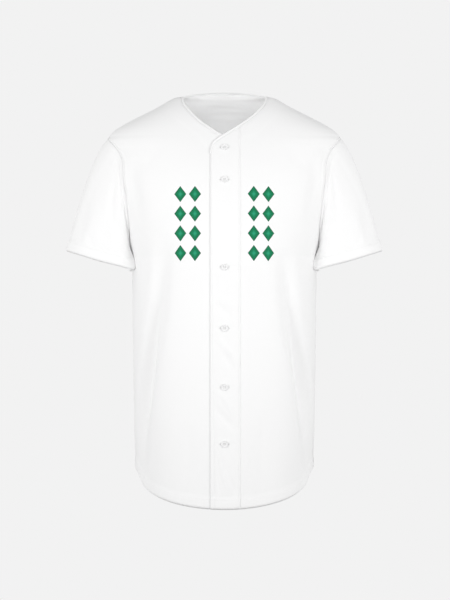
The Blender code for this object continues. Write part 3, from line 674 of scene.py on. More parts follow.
BUTTONHOLE_LENGTH = 0.0170
BUTTONHOLE_WIDTH = 0.0024
BUTTONHOLE_PITCH = 3.2  # of its stitches, in thread radii
BUTTONHOLE_STITCH_SHARE = 1.2  # of the sewing thread's radius, for its own thread
BAR_LENGTH_SHARE = 1.2  # of the buttonhole's width, for the bar at each end
BAR_THREAD_SHARE = 1.6
SLIT_SHADE_SHARE = 0.96  # of the buttonhole's length, for the strip of painted shade along its slit
BUTTON_THICKNESS = 0.0024
BUTTON_FACE_SHARE = 0.60  # where the face lies in the thickness
BUTTON_HOLE_SPACING = 0.0026
BUTTON_THREAD_SHARE = 1.3  # of the sewing thread's radius
BUTTON_STITCH_SHARE = 1.25  # of the spacing of the holes

# The stage
FLOOR_RADIUS = 2.5
FLOOR_HEIGHT = -1.6
FLOOR_COLOUR = "D8D8D8"
CEILING_LEVELS = (0.2, 0.8)  # where the room starts to darken overhead, and where it ends
SOFTBOX_PLACE = (1.72, -1.72, -0.18)  # on the wearer's left; its twin mirrors it
SOFTBOX_TARGET = (0.0, -0.1, -0.37)
SOFTBOX_SIZE = (0.6, 0.6)
NECK_LIGHT_PLACE = (0.0, -0.01, -0.11)
NECK_LIGHT_TARGET = (0.0, 0.07, 0.0)
NECK_LIGHT_SIZE = (0.07, 0.04)
CAMERA_ACROSS = 0.0012
CAMERA_HEIGHT = -0.3857
LENS = 135.0  # in millimetres, as is the sensor's width
SENSOR_WIDTH = 36.0


def crease_relief(across, height, creases):
    """How far these creases move the cloth out at a place on the front or the back."""
    moved = np.zeros(np.broadcast(across, height).shape)
    for crease in creases:
        run, rise = np.subtract(crease.end, crease.start)
        length = math.hypot(run, rise)
        right, up = across - crease.start[0], height - crease.start[1]
        along = np.clip((right * run + up * rise) / length**2, 0.0, 1.0)
        off = (up * run - right * rise) / length - crease.bow * 4 * along * (1 - along)
        fade = np.sin(math.pi * along) ** CREASE_FADE_POWER
        moved = moved - crease.depth * fade * bump(off / crease.width)
    return moved


def grid_normals(points):
    """The outward directions of a grid whose columns run to its right, seen from outside."""
    return unit(np.cross(np.gradient(points, axis=0), np.gradient(points, axis=1)))


def edge_distances(points):
    """Distances along the cloth from a grid's left, right, top and bottom edges."""
    steps = np.linalg.norm(np.diff(points, axis=1), axis=-1)
    left = np.pad(np.cumsum(steps, axis=1), ((0, 0), (1, 0)))
    steps = np.linalg.norm(np.diff(points, axis=0), axis=-1)
    top = np.pad(np.cumsum(steps, axis=0), ((1, 0), (0, 0)))
    return {"left": left, "right": left[:, -1:] - left, "top": top, "bottom": top[-1:] - top}


def stitch_dip(off):
    return -STITCH_DIP * bump(off / STITCH_WIDTH)


def seam_form(distance):
    """The dip at a seam and the finer one under its row of stitches."""
    return -SEAM_DIP * bump(distance / SEAM_SOFTNESS) + stitch_dip(distance - SEAM_STITCHES)


def hem_form(bottom):
    """The step up to a turned hem, the dip under its stitches and its rolled edge."""
    step = HEM_RISE * smooth_step((HEM_WIDTH + HEM_STEP / 2 - bottom) / HEM_STEP)
    roll = -EDGE_ROLL_IN * np.clip(1 - bottom / EDGE_ROLL, 0.0, 1.0) ** 2
    return step + roll + stitch_dip(bottom - HEM_STITCHES)


def layers_at(bottom):
    """1 where the cloth is double, in a turned hem, and 0 elsewhere."""
    return smooth_step((HEM_WIDTH + LAYER_STEP / 2 - bottom) / LAYER_STEP)


STITCH_LINES = []  # (points, outward directions) that the pieces leave for the stitching


def stitch_along(points, distance, wanted, rows=slice(None), columns=slice(None)):
    """Leaves the line at this distance from a grid's edge, within these rows and columns."""
    grid = np.concatenate([points, grid_normals(points)], axis=-1)[rows, columns]
    far = distance[rows, columns]
    if abs(far[:, 0] - far[:, -1]).max() < abs(far[0] - far[-1]).max():
        grid, far = grid.swapaxes(0, 1), far.T
    found = []
    for values, run in zip(grid, far):
        order = np.argsort(run)
        found.append([np.interp(wanted, run[order], values[order, axis]) for axis in range(6)])
    found = np.array(found)
    STITCH_LINES.append((found[:, :3], unit(found[:, 3:])))


def bead():
    """Points and faces of a round bead of radius 1, which each stitch stretches."""
    shape = bmesh.new()
    bmesh.ops.create_uvsphere(shape, u_segments=6, v_segments=5, radius=1.0)
    points = np.array([vert.co[:] for vert in shape.verts])
    faces = [[vert.index for vert in face.verts] for face in shape.faces]
    shape.free()
    return points, faces


BEAD_POINTS, BEAD_FACES = bead()


def stitches(centres, aheads, directions, length, radius):
    """Points of threads lying on the cloth: long beads, half sunk in."""
    ahead = unit(np.asarray(aheads, dtype=float))
    side = unit(np.cross(directions, ahead))
    up = np.cross(ahead, side)
    axes = np.stack([side * radius, up * radius, ahead * length / 2], axis=1)
    return np.asarray(centres)[:, None] + np.einsum("pk,nkj->npj", BEAD_POINTS, axes)


def stitch_row(line, directions, pitch, length, radius):
    """Stitches end to end along a line on the cloth."""
    run = np.concatenate([[0.0], np.cumsum(np.linalg.norm(np.diff(line, axis=0), axis=-1))])

    def at(values, place):
        return np.stack([np.interp(place, run, values[:, axis]) for axis in range(3)], axis=-1)

    middles = (np.arange(int(run[-1] / pitch)) + 0.5) * pitch
    aheads = at(line, middles + length / 2) - at(line, middles - length / 2)
    return stitches(at(line, middles), aheads, at(directions, middles), length, radius)


def linear(hex_colour):
    """An sRGB hex colour, such as F2F2F2, as linear red, green, blue and alpha."""
    channels = [int(hex_colour[i : i + 2], 16) / 255 for i in (0, 2, 4)]
    return (*[c / 12.92 if c <= 0.04045 else ((c + 0.055) / 1.055) ** 2.4 for c in channels], 1.0)


def set_inputs(tree, node, inputs):
    """Gives a node's inputs their values, or other nodes' outputs to link to."""
    for place, value in inputs.items():
        if isinstance(value, bpy.types.NodeSocket):
            tree.links.new(value, node.inputs[place])
        else:
            node.inputs[place].default_value = value


def add_node(tree, kind, inputs=None, **settings):
    made = tree.nodes.new(kind)
    for name, value in settings.items():
        setattr(made, name, value)
    set_inputs(tree, made, inputs or {})
    return made


def math_node(tree, operation, a, b=0.0):
    return add_node(tree, "ShaderNodeMath", {0: a, 1: b}, operation=operation).outputs[0]


def mix_colours(tree, share, a, b):
    """A colour between a and b."""
    inputs = {"Factor": share, 6: a, 7: b}
    return add_node(tree, "ShaderNodeMix", inputs, data_type="RGBA").outputs[2]


def bumped(tree, height, strength, depth):
    """A surface that this height raises."""
    inputs = {"Height": height, "Strength": strength, "Distance": depth}
    return add_node(tree, "ShaderNodeBump", inputs).outputs["Normal"]


def new_material(name):
    """A material and its shader."""
    made = bpy.data.materials.new(name)
    made.use_nodes = True
    return made, made.node_tree.nodes["Principled BSDF"]


def knit_bump(tree, uv, loop, depth):
    """Knitted loops in wales and courses, at the size of the cloth's own UV map."""
    waves = []
    for direction, spacing in (("X", loop), ("Y", loop * COURSE_SHARE)):
        scale = math.tau / (WAVE_SCALE * spacing)
        inputs = {"Vector": uv, "Scale": scale, "Distortion": 0.0}
        waves.append(add_node(tree, "ShaderNodeTexWave", inputs, bands_direction=direction))
    loops = math_node(tree, "MULTIPLY", waves[0].outputs["Fac"], waves[1].outputs["Fac"])
    return bumped(tree, loops, 1.0, depth)


def printed(tree, uv, cloth_colour, settings):
    """The cloth's colour with a block of plain green diamonds on each side of the placket."""
    place = add_node(tree, "ShaderNodeSeparateXYZ", {0: uv}).outputs
    offsets = (
        math_node(tree, "SUBTRACT", math_node(tree, "ABSOLUTE", place["X"]), PRINT_CORNER[0]),
        math_node(tree, "SUBTRACT", PRINT_CORNER[1], place["Y"]),
    )
    inside, total = 1.0, 2.0
    for offset, cell, count in zip(offsets, PRINT_CELL, PRINT_CELLS):
        beyond = math_node(tree, "GREATER_THAN", offset, 0.0)
        before = math_node(tree, "LESS_THAN", offset, cell * count)
        inside = math_node(tree, "MULTIPLY", inside, math_node(tree, "MULTIPLY", beyond, before))
        centred = math_node(tree, "DIVIDE", math_node(tree, "PINGPONG", offset, cell / 2), cell / 2)
        total = math_node(tree, "SUBTRACT", total, centred)
    ramp = add_node(tree, "ShaderNodeValToRGB", {"Fac": total})
    stops = ramp.color_ramp.elements
    stops[0].position, stops[0].color = 0.05, linear(settings.print_light)
    stops[1].position, stops[1].color = 0.42, linear(settings.print_colour)
    for position, colour in ((0.66, settings.print_colour), (0.76, settings.print_edge)):
        stops.new(position).color = linear(colour)
    inputs = {"Value": total, "From Min": PRINT_REACH, "From Max": PRINT_REACH - 0.03}
    edge = add_node(tree, "ShaderNodeMapRange", inputs).outputs[0]
    shown = math_node(tree, "MULTIPLY", inside, edge)
    return mix_colours(tree, shown, cloth_colour, ramp.outputs[0])


def cloth_material(name, settings, double=False, with_print=False):
    """White knitted polyester: matt, with a faint sheen, whiter where it is double."""
    made, shader = new_material(name)
    tree = made.node_tree
    uv = add_node(tree, "ShaderNodeUVMap", uv_map="cut").outputs["UV"]
    layers = add_node(tree, "ShaderNodeAttribute", attribute_name="layers").outputs["Fac"]
    clouds = add_node(tree, "ShaderNodeTexNoise", {"Vector": uv, "Scale": 14.0, "Detail": 3.0})
    share = math_node(tree, "MULTIPLY", clouds.outputs["Fac"], 0.5)
    single, doubled = linear(settings.cloth_colour), linear(settings.double_colour)
    start = mix_colours(tree, 1.0 if double else layers, single, doubled)
    tone = mix_colours(tree, share, start, mix_colours(tree, 0.25, start, (1.0, 1.0, 1.0, 1.0)))
    if with_print:
        tone = printed(tree, uv, tone, settings)
    set_inputs(tree, shader, {
        "Base Color": tone,
        "Roughness": 0.78,
        "Sheen Weight": 0.08,
        "Sheen Roughness": 0.45,
        "Specular IOR Level": 0.3,
        "Normal": knit_bump(tree, uv, settings.knit_loop, settings.knit_depth),
    })
    return made


def shared_cloth(name, settings, **kinds):
    """The cloth of this name, made the first time that a piece needs it."""
    return bpy.data.materials.get(name) or cloth_material(name, settings, **kinds)


def speckled_material(name, colour, roughness, scale, depth):
    """Moulded or twisted stuff of one colour, faintly uneven in tone and surface."""
    made, shader = new_material(name)
    tree = made.node_tree
    place = add_node(tree, "ShaderNodeTexCoord").outputs["Object"]
    inputs = {"Vector": place, "Scale": scale, "Detail": 2.0}
    noise = add_node(tree, "ShaderNodeTexNoise", inputs).outputs["Fac"]
    start = linear(colour)
    darker = (*[channel * 0.93 for channel in start[:3]], 1.0)
    set_inputs(tree, shader, {
        "Base Color": mix_colours(tree, noise, darker, start),
        "Normal": bumped(tree, noise, 0.5, depth),
        "Roughness": roughness,
    })
    return made


def thread_material(name, trim):
    """Twisted polyester thread."""
    return speckled_material(name, trim.thread_colour, 0.6, 2400.0, 0.0001)


def finish_piece(name, mesh, finish, nodes=()):
    """Puts a new piece in the scene, riding on the frame in its nodes' place."""
    mesh.shade_smooth()
    mesh.materials.append(finish)
    piece = bpy.data.objects.new(name, mesh)
    bpy.context.scene.collection.objects.link(piece)
    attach(piece, "root")
    if nodes:
        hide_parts(*nodes)
    return piece


def new_mesh(name, shape):
    """This shape as a mesh."""
    mesh = bpy.data.meshes.new(name)
    shape.to_mesh(mesh)
    shape.free()
    return mesh


def weld(mesh, capped=False):
    """Joins a mesh's points that fall together, and closes its open ends if capped."""
    shape = bmesh.new()
    shape.from_mesh(mesh)
    bmesh.ops.remove_doubles(shape, verts=shape.verts, dist=WELD_DISTANCE)
    if capped:
        bmesh.ops.holes_fill(shape, edges=shape.edges, sides=8)
        bmesh.ops.recalc_face_normals(shape, faces=shape.faces)
    shape.to_mesh(mesh)
    shape.free()


def thread_piece(name, beads, finish):
    """All these stitches as one piece."""
    points = np.concatenate(beads).reshape(-1, 3).tolist()
    starts = range(0, len(points), len(BEAD_POINTS))
    faces = [[place + start for place in face] for start in starts for face in BEAD_FACES]
    mesh = bpy.data.meshes.new(name)
    mesh.from_pydata(points, [], faces)
    finish_piece(name, mesh, finish)


def cloth_piece(name, points, uvs, layers, finish, thickness, nodes, tube=False):
    """A thin sheet of cloth, from a grid laid on these points, with its wall inside."""
    rows, columns = points.shape[0] - 1, points.shape[1] - 1
    shape = bmesh.new()
    bmesh.ops.create_grid(shape, x_segments=columns, y_segments=rows, size=0.5)
    bmesh.ops.reverse_faces(shape, faces=shape.faces)
    mesh = new_mesh(name, shape)
    flat = np.empty(len(mesh.vertices) * 3)
    mesh.vertices.foreach_get("co", flat)
    flat = flat.reshape(-1, 3)
    column = np.rint((flat[:, 0] + 0.5) * columns).astype(int)
    row = np.rint((0.5 - flat[:, 1]) * rows).astype(int)
    mesh.vertices.foreach_set("co", points[row, column].ravel())
    corner = np.empty(len(mesh.loops), dtype=int)
    mesh.loops.foreach_get("vertex_index", corner)
    layer = mesh.uv_layers.new(name="cut")
    layer.data.foreach_set("uv", uvs[row[corner], column[corner]].ravel())
    double = mesh.attributes.new("layers", "FLOAT", "POINT")
    double.data.foreach_set("value", np.broadcast_to(layers, points.shape[:2])[row, column])
    mesh.update()
    middle_row, middle_column = rows // 2, columns // 2
    gaps = np.linalg.norm(points[row, column] - points[middle_row, middle_column], axis=1)
    here = int(np.argmin(gaps))
    face = next(p for p in mesh.polygons if here in p.vertices[:])
    if np.dot(face.normal, grid_normals(points)[middle_row, middle_column]) < 0:
        mesh.flip_normals()
    if tube:
        weld(mesh)
    piece = finish_piece(name, mesh, finish, nodes)
    wall = piece.modifiers.new("Cloth", "SOLIDIFY")
    wall.thickness = thickness
    wall.offset = -1.0
    return piece


ARC_TURNS = np.linspace(-90.0, 270.0, 721)
ARC_HEIGHTS = np.linspace(-0.80, 0.02, 165)


def section_arcs():
    """Distance round the torso from the middle of the front, by height and turn."""
    points = bare_torso(ARC_TURNS[None, :], ARC_HEIGHTS[:, None])
    steps = np.linalg.norm(np.diff(points, axis=1), axis=-1)
    arcs = np.pad(np.cumsum(steps, axis=1), ((0, 0), (1, 0)))
    return arcs - arcs[:, [np.argmin(np.abs(ARC_TURNS))]]


ARCS = section_arcs()


def torso_uv(turn, height):
    """Places on the cloth laid flat: distance round the torso, and height."""
    turn, height = np.broadcast_arrays(wrapped(turn), height)
    place = []
    for value, knots in ((height, ARC_HEIGHTS), (turn, ARC_TURNS)):
        scaled = np.clip((value - knots[0]) / (knots[1] - knots[0]), 0.0, len(knots) - 1.001)
        place.append((scaled.astype(int), scaled % 1.0))
    (row, down), (column, along) = place
    here = blend(ARCS[row, column], ARCS[row, column + 1], along)
    below = blend(ARCS[row + 1, column], ARCS[row + 1, column + 1], along)
    return np.stack([blend(here, below, down), height], axis=-1)


ARMHOLE_GRID_ROWS = slice(SHOULDER_ROWS * ROWS_EACH, (SHOULDER_ROWS + ARMHOLE_ROWS) * ROWS_EACH)


def torso_piece(name, places, outer_edges, seams, creases, finish, settings, nodes, rise=0.0):
    """A panel of the torso, with its armholes at outer_edges and its seams at seams."""
    turn, height = places
    distances = edge_distances(torso(turn, height, rise))
    bottom, top = distances["bottom"], distances["top"]
    out = rise + hem_form(bottom) + crease_relief(bare_torso(turn, height)[..., 0], height, creases)
    out = out + FACING_RISE * smooth_step((FACING_WIDTH - top) / FACING_STEP)
    for side in seams:
        out = out + seam_form(distances[side])
    armhole = np.zeros(turn.shape)
    armhole[ARMHOLE_GRID_ROWS] = 1.0
    for side in outer_edges:
        ridge = smooth_step((ALLOWANCE_WIDTH - distances[side]) / ALLOWANCE_STEP)
        ridge = ridge * smooth_step(distances[side] / ALLOWANCE_STEP)
        out = out + armhole * ALLOWANCE_RISE * ridge
    points = torso(turn, height, out)
    stitch_along(points, bottom, HEM_STITCHES)
    stitch_along(points, top, SEAM_STITCHES)
    for side in outer_edges:
        stitch_along(points, distances[side], SEAM_STITCHES, rows=ARMHOLE_GRID_ROWS)
    uvs, layers = torso_uv(turn, height), layers_at(bottom)
    thickness = settings.cloth_thickness
    return cloth_piece(name, points, uvs, layers, finish, thickness, nodes)


def on_placket(across, height, out):
    """Points over the placket, with their rightward, upward and outward directions."""
    across, height = np.broadcast_arrays(np.asarray(across, dtype=float), height)
    turn = turn_of(across, height)
    normal = torso_outward(turn, height)
    up = unit(np.array([0.0, 0.0, 1.0]) - normal * normal[..., 2:])
    return torso(turn, height, out), np.cross(up, normal), up, normal


def seam_lines():
    """(points, outward directions) along every seam, from inside of which its allowance hangs."""
    around = np.linspace(0.0, 1.0, 241)
    ends = np.clip(np.minimum(around, 1 - around) * 2, 0.001, 0.999)
    armhole_turn, armhole_height = armhole_seam(around, ends)
    side_height = np.linspace(UNDERARM_HEIGHT, HEM_SIDE + HEM_WIDTH, 121)
    shoulder = np.linspace(shoulder_height(NECK_HALF_WIDTH + BINDING_WIDTH), TIP_HEIGHT, 61)
    placket_height = np.linspace(PLACKET_TOP, HEM_MIDDLE + HEM_WIDTH, 241)
    runs = [(turn_of(PLACKET_SEAM, placket_height), placket_height, LAP_RISE)]
    for side in (1, -1):
        runs.append((side * armhole_turn, armhole_height, 0.0))
        for height in (side_height, shoulder):
            runs.append((np.full(len(height), side * 90.0), height, 0.0))
    edges, rise = binding_places()
    runs.append((*edges[1], rise))
    for turn, height, out in runs:
        turn = wrapped(turn)
        yield torso(turn, height, out), torso_outward(turn, height)


def tube(line, directions, radius, depth, sides=8):
    """Points of a tube that runs this deep under a line on the cloth."""
    ahead = unit(np.gradient(line, axis=0))
    side = unit(np.cross(directions, ahead))
    angle = np.linspace(0.0, math.tau, sides + 1)[None, :, None]
    ring = side[:, None] * np.cos(angle) + directions[:, None] * np.sin(angle)
    return (line - directions * depth)[:, None] + ring * radius


def length_prop(name, description, default):
    return FloatProperty(name=name, description=description, default=default, unit="LENGTH")


def power_prop(name, description, default):
    return FloatProperty(name=name, description=description, default=default, unit="POWER")


def colour_prop(name, thing, default):
    description = f"sRGB hex colour of {thing}"
    return StringProperty(name=name, description=description, default=default)


class ClothSettings(bpy.types.PropertyGroup):
    cloth_thickness: length_prop("Cloth thickness", "Thickness of one layer of cloth", 0.0006)
    knit_loop: length_prop(
        "Knit loop",
        "Width of a knitted loop, drawn coarser than the real 0.5 mm so that it shows",
        0.0014,
    )
    knit_depth: length_prop("Knit depth", "How deep the knitted loops look", 0.00006)
    allowance_radius: length_prop(
        "Seam allowance", "Half the thickness of the overlocked edge inside each seam", 0.0011
    )
    binding_roll: length_prop("Binding roll", "How far the neck binding bulges out", 0.0009)
    cloth_colour: colour_prop("Cloth colour", "one layer of the white cloth", "F7F7F7")
    double_colour: colour_prop("Double cloth colour", "hems, placket and binding", "F8F8F8")
    print_colour: colour_prop("Print colour", "the printed diamonds", "0A7A50")
    print_light: colour_prop("Print light", "a diamond's middle", "2AA37A")
    print_edge: colour_prop("Print edge", "a diamond's edge", "0A5F40")


class TrimSettings(bpy.types.PropertyGroup):
    stitch_pitch: length_prop("Stitch pitch", "Distance from one stitch to the next", 0.0032)
    stitch_length: length_prop("Stitch length", "Length of thread that each stitch shows", 0.0026)
    thread_radius: length_prop("Thread radius", "Radius of the sewing thread", 0.00022)
    thread_colour: colour_prop("Thread colour", "the sewing thread", "EFEFEF")
    # The buttonhole slit's colour is painted shade: a pale grey that stands in for the shadow deep
    # in the slit.
    slit_shade_colour: colour_prop("Buttonhole slit painted shade", "the painted shade along a buttonhole's slit", "E6E6E6")
    button_colour: colour_prop("Button colour", "the buttons", "F6F6F6")


class StageSettings(bpy.types.PropertyGroup):
    background: colour_prop("Background", "the plain background", "F2F2F2")
    ceiling: FloatProperty(
        name="Ceiling",
        description="How bright the room is overhead, as a share of the background",
        default=0.57,
        min=0.0,
        max=1.0,
    )
    front_light: power_prop("Front light", "Power of each of the two soft lights in front", 2.5)
    front_spread: FloatProperty(
        name="Front light spread",
        description="Angle of the beam of each soft light in front",
        default=math.radians(75),
        unit="ROTATION",
    )
    neck_light: power_prop("Neck light", "Power of the small soft light under the neck", 0.062)
    camera_distance: length_prop(
        "Camera distance", "Distance of the camera from the plane of the side seams", 4.275
    )


class JERSEY_OT_fronts(bpy.types.Operator):
    """Makes the wearer's left and right fronts"""

    bl_idname = "jersey.fronts"
    bl_label = "Fronts"

    def execute(self, context):
        cloth = context.scene.jersey_cloth
        finish = shared_cloth("polyester knit, printed", cloth, with_print=True)
        places = front_places(1, PLACKET_SEAM, LEFT_COLUMNS)
        piece = torso_piece(
            "cloth_front_left", places, ("right",), ("left", "right", "top"),
            PLACKET_CREASES + FRONT_CREASES, finish, cloth, ["front_left"],
            rise=lap_rise(bare_torso(*places)[..., 0]),
        )
        places = front_places(-1, UNDERLAP_EDGE, RIGHT_COLUMNS)
        piece = torso_piece(
            "cloth_front_right", places, ("left",), ("left", "top"),
            FRONT_CREASES, finish, cloth, ["front_right"],
        )
        return {"FINISHED"}


class JERSEY_OT_back(bpy.types.Operator):
    """Makes the back"""

    bl_idname = "jersey.back"
    bl_label = "Back"

    def execute(self, context):
        cloth = context.scene.jersey_cloth
        finish = shared_cloth("polyester knit", cloth)
        piece = torso_piece(
            "cloth_back", back_places(), ("left", "right"), ("left", "right", "top"),
            BACK_CREASES, finish, cloth, ["back"],
        )
        return {"FINISHED"}


class JERSEY_OT_sleeves(bpy.types.Operator):
    """Makes both set-in sleeves"""

    bl_idname = "jersey.sleeves"
    bl_label = "Sleeves"

    def execute(self, context):
        cloth = context.scene.jersey_cloth
        finish = shared_cloth("polyester knit", cloth)
        around = (1 - np.linspace(0.0, 1.0, SLEEVE_COLUMNS + 1))[None, :]
        along = np.linspace(0.0, 1.0, SLEEVE_FINE_ROWS + 1)[:, None] ** SLEEVE_ROW_POWER
        around, along = np.broadcast_arrays(around, along)
        distances = edge_distances(sleeve(around, along))
        bottom, top = distances["bottom"], distances["top"]
        out = hem_form(bottom) - SEAM_DIP * bump(top / SEAM_SOFTNESS)
        ease = smooth_step(np.sin(math.tau * around) ** 2 * EASE_GAIN - EASE_START)
        out = out - EASE_DIP * ease * bump((top - EASE_FROM_SEAM) / EASE_WIDTH)
        out = out + sleeve_relief(around, along, SLEEVE_CREASES)
        points = sleeve(around, along, out)
        points[:, -1] = points[:, 0]
        uvs = np.stack([around * SLEEVE_ROUND, -along * SLEEVE_LENGTH], axis=-1)
        layers = layers_at(bottom)
        for side, name in ((1, "sleeve_left"), (-1, "sleeve_right")):
            here = points[:, ::side] * (side, 1, 1)
            piece = cloth_piece(
                "cloth_" + name, here, uvs[:, ::side], layers[:, ::side], finish,
                cloth.cloth_thickness, [name], tube=True,
            )
            stitch_along(here, bottom[:, ::side], HEM_STITCHES)
        return {"FINISHED"}


class JERSEY_OT_placket(bpy.types.Operator):
    """Makes the placket that laps the left front over the right"""

    bl_idname = "jersey.placket"
    bl_label = "Placket"

    def execute(self, context):
        cloth = context.scene.jersey_cloth
        turn, height = placket_places()
        distances = edge_distances(torso(turn, height))
        left, right, top, bottom = (distances[side] for side in ("left", "right", "top", "bottom"))
        creases = PLACKET_CREASES + FRONT_CREASES
        for level in BUTTON_HEIGHTS:
            for side in (-1, 1):
                start = BUTTON_ACROSS + side * PUCKER_START, level
                end = BUTTON_ACROSS + side * PUCKER_REACH, level + side * PUCKER_FALL
                creases = [*creases, Crease(start, end, 0.0, PUCKER_WIDTH, PUCKER_DEPTH)]
        out = LAP_RISE + hem_form(bottom) + seam_form(right) + seam_form(top)
        roll = PLACKET_ROLL_IN * np.clip(1 - left / PLACKET_ROLL, 0, 1) ** 2
        out = out + stitch_dip(left - PLACKET_STITCHES) - roll
        out = out + crease_relief(bare_torso(turn, height)[..., 0], height, creases)
        points = torso(turn, height, out)
        piece = cloth_piece(
            "cloth_placket", points, torso_uv(turn, height), layers_at(bottom),
            shared_cloth("polyester knit", cloth), 2 * cloth.cloth_thickness, ["placket"],
        )
        stitch_along(points, left, PLACKET_STITCHES)
        stitch_along(points, right, SEAM_STITCHES)
        stitch_along(points, top, SEAM_STITCHES)
        stitch_along(points, bottom, HEM_STITCHES)
        return {"FINISHED"}


class JERSEY_OT_binding(bpy.types.Operator):
    """Makes the narrow binding round the neck"""

    bl_idname = "jersey.binding"
    bl_label = "Neck binding"

    def execute(self, context):
        cloth = context.scene.jersey_cloth
        finish = shared_cloth("polyester knit, doubled", cloth, double=True)
        edges, rise = binding_places()
        share = np.linspace(0.0, 1.0, BINDING_COLUMNS + 1)[:, None]
        turn, height = (blend(edges[0][axis][None], edges[1][axis][None], share) for axis in (0, 1))
        roll = cloth.binding_roll * np.sqrt(np.clip(1 - (2 * share - 1) ** 2, 0, 1))
        points = torso(turn, height, rise[None] + roll - cloth.binding_roll / 3)
        piece = cloth_piece(
            "cloth_neck_binding", points, torso_uv(turn, height), 1.0, finish,
            BINDING_THICKNESS, ["neck_binding"],
        )
        return {"FINISHED"}


class JERSEY_OT_allowances(bpy.types.Operator):
    """Makes the overlocked seam allowances, which close each seam from inside"""

    bl_idname = "jersey.allowances"
    bl_label = "Seam allowances"

    def execute(self, context):
        cloth = context.scene.jersey_cloth
        depth = cloth.allowance_radius + cloth.cloth_thickness * ALLOWANCE_SINK
        points, faces = [], []
        for line, directions in seam_lines():
            rings = tube(line, directions, cloth.allowance_radius, depth)
            place = len(points) + np.arange(rings[..., 0].size).reshape(rings.shape[:2])
            corners = place[:-1, :-1], place[:-1, 1:], place[1:, 1:], place[1:, :-1]
            faces.extend(np.stack(corners, axis=-1).reshape(-1, 4).tolist())
            points.extend(rings.reshape(-1, 3).tolist())
        mesh = bpy.data.meshes.new("seam_allowances")
        mesh.from_pydata(points, [], faces)
        weld(mesh, capped=True)
        finish = speckled_material("overlocked edge", cloth.cloth_colour, 0.8, 900.0, 0.0002)
        finish_piece("seam_allowances", mesh, finish)
        return {"FINISHED"}


class JERSEY_OT_stitching(bpy.types.Operator):
    """Sews the rows of stitches along the hems, armholes, neck and placket"""

    bl_idname = "jersey.stitching"
    bl_label = "Stitching"

    def execute(self, context):
        if not STITCH_LINES:
            raise RuntimeError("Make the panels first: they leave the lines to sew along.")
        trim = context.scene.jersey_trim
        sizes = trim.stitch_pitch, trim.stitch_length, trim.thread_radius
        beads = [stitch_row(line, directions, *sizes) for line, directions in STITCH_LINES]
        thread_piece("stitches", beads, thread_material("polyester thread", trim))
        return {"FINISHED"}


class JERSEY_OT_buttonholes(bpy.types.Operator):
    """Works the buttonholes: a slit between two rows of close stitches, barred at its ends, with a
    strip of painted shade along the slit
    """

    bl_idname = "jersey.buttonholes"
    bl_label = "Buttonholes"

    def execute(self, context):
        trim = context.scene.jersey_trim
        radius = trim.thread_radius
        count = int(BUTTONHOLE_LENGTH / (BUTTONHOLE_PITCH * radius))
        places = BUTTON_ACROSS + np.linspace(-0.5, 0.5, count) * BUTTONHOLE_LENGTH
        twist_radius, bar_radius = radius * BUTTONHOLE_STITCH_SHARE, radius * BAR_THREAD_SHARE
        bar = BUTTONHOLE_WIDTH * BAR_LENGTH_SHARE
        threads, slit_shades = [], []
        for level in BUTTON_HEIGHTS:
            for side in (-1, 1):
                height = level + side * BUTTONHOLE_WIDTH / 4
                centres, _, up, out = on_placket(places, height, LAP_RISE)
                threads.append(stitches(centres, up, out, BUTTONHOLE_WIDTH / 2, twist_radius))
                end = BUTTON_ACROSS + side * (BUTTONHOLE_LENGTH / 2 + radius)
                centres, _, up, out = on_placket([end], level, LAP_RISE)
                threads.append(stitches(centres, up, out, bar, bar_radius))
            # A thin pale grey bead along each slit is painted shade, standing in for the shadow
            # deep in the slit.
            centres, right, _, out = on_placket([BUTTON_ACROSS], level, LAP_RISE + radius)
            slit_shades.append(stitches(centres, right, out, BUTTONHOLE_LENGTH * SLIT_SHADE_SHARE, radius))
        shade = speckled_material("painted shade in a slit", trim.slit_shade_colour, 0.9, 900.0, 0.0001)
        twist = thread_material("buttonhole twist", trim)
        thread_piece("buttonhole_threads", threads, twist)
        thread_piece("buttonhole_slit_shades", slit_shades, shade)
        return {"FINISHED"}


class JERSEY_OT_buttons(bpy.types.Operator):
    """Gives the buttons their moulded resin and the thread that sews them on"""

    bl_idname = "jersey.buttons"
    bl_label = "Buttons"

    def execute(self, context):
        trim = context.scene.jersey_trim
        colour = trim.button_colour
        resin = speckled_material("moulded polyester resin", colour, 0.32, 220.0, 0.00005)
        radius = trim.thread_radius * BUTTON_THREAD_SHARE
        face = LAP_RISE + BUTTON_GAP + BUTTON_THICKNESS * BUTTON_FACE_SHARE
        across = [BUTTON_ACROSS] * 2
        span = BUTTON_HOLE_SPACING * BUTTON_STITCH_SHARE
        threads = []
        for number, level in enumerate(BUTTON_HEIGHTS, start=1):
            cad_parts[f"button_{number}"].material_slots[0].material = resin
            for lift in (0.5, 1.5):
                centres, right, up, out = on_placket(across, level, face + radius * lift)
                offsets = np.array([[-0.5], [0.5]]) * BUTTON_HOLE_SPACING + radius * (lift - 1.0)
                threads.append(stitches(centres + up * offsets, right, out, span, radius))
        thread_piece("button_threads", threads, thread_material("button thread", trim))
        return {"FINISHED"}


def add_softbox(name, place, target, size, power, spread=math.pi):
    """A soft rectangular light, aimed at a point and out of the camera's sight."""
    light = bpy.data.lights.new(name, "AREA")
    light.shape = "RECTANGLE"
    light.size, light.size_y = size
    light.energy = power
    light.spread = spread
    lamp = bpy.data.objects.new(name, light)
    lamp.location = place
    aim = Vector(target) - Vector(place)
    lamp.rotation_euler = aim.to_track_quat("-Z", "Y").to_euler()
    lamp.visible_camera = False
    bpy.context.scene.collection.objects.link(lamp)


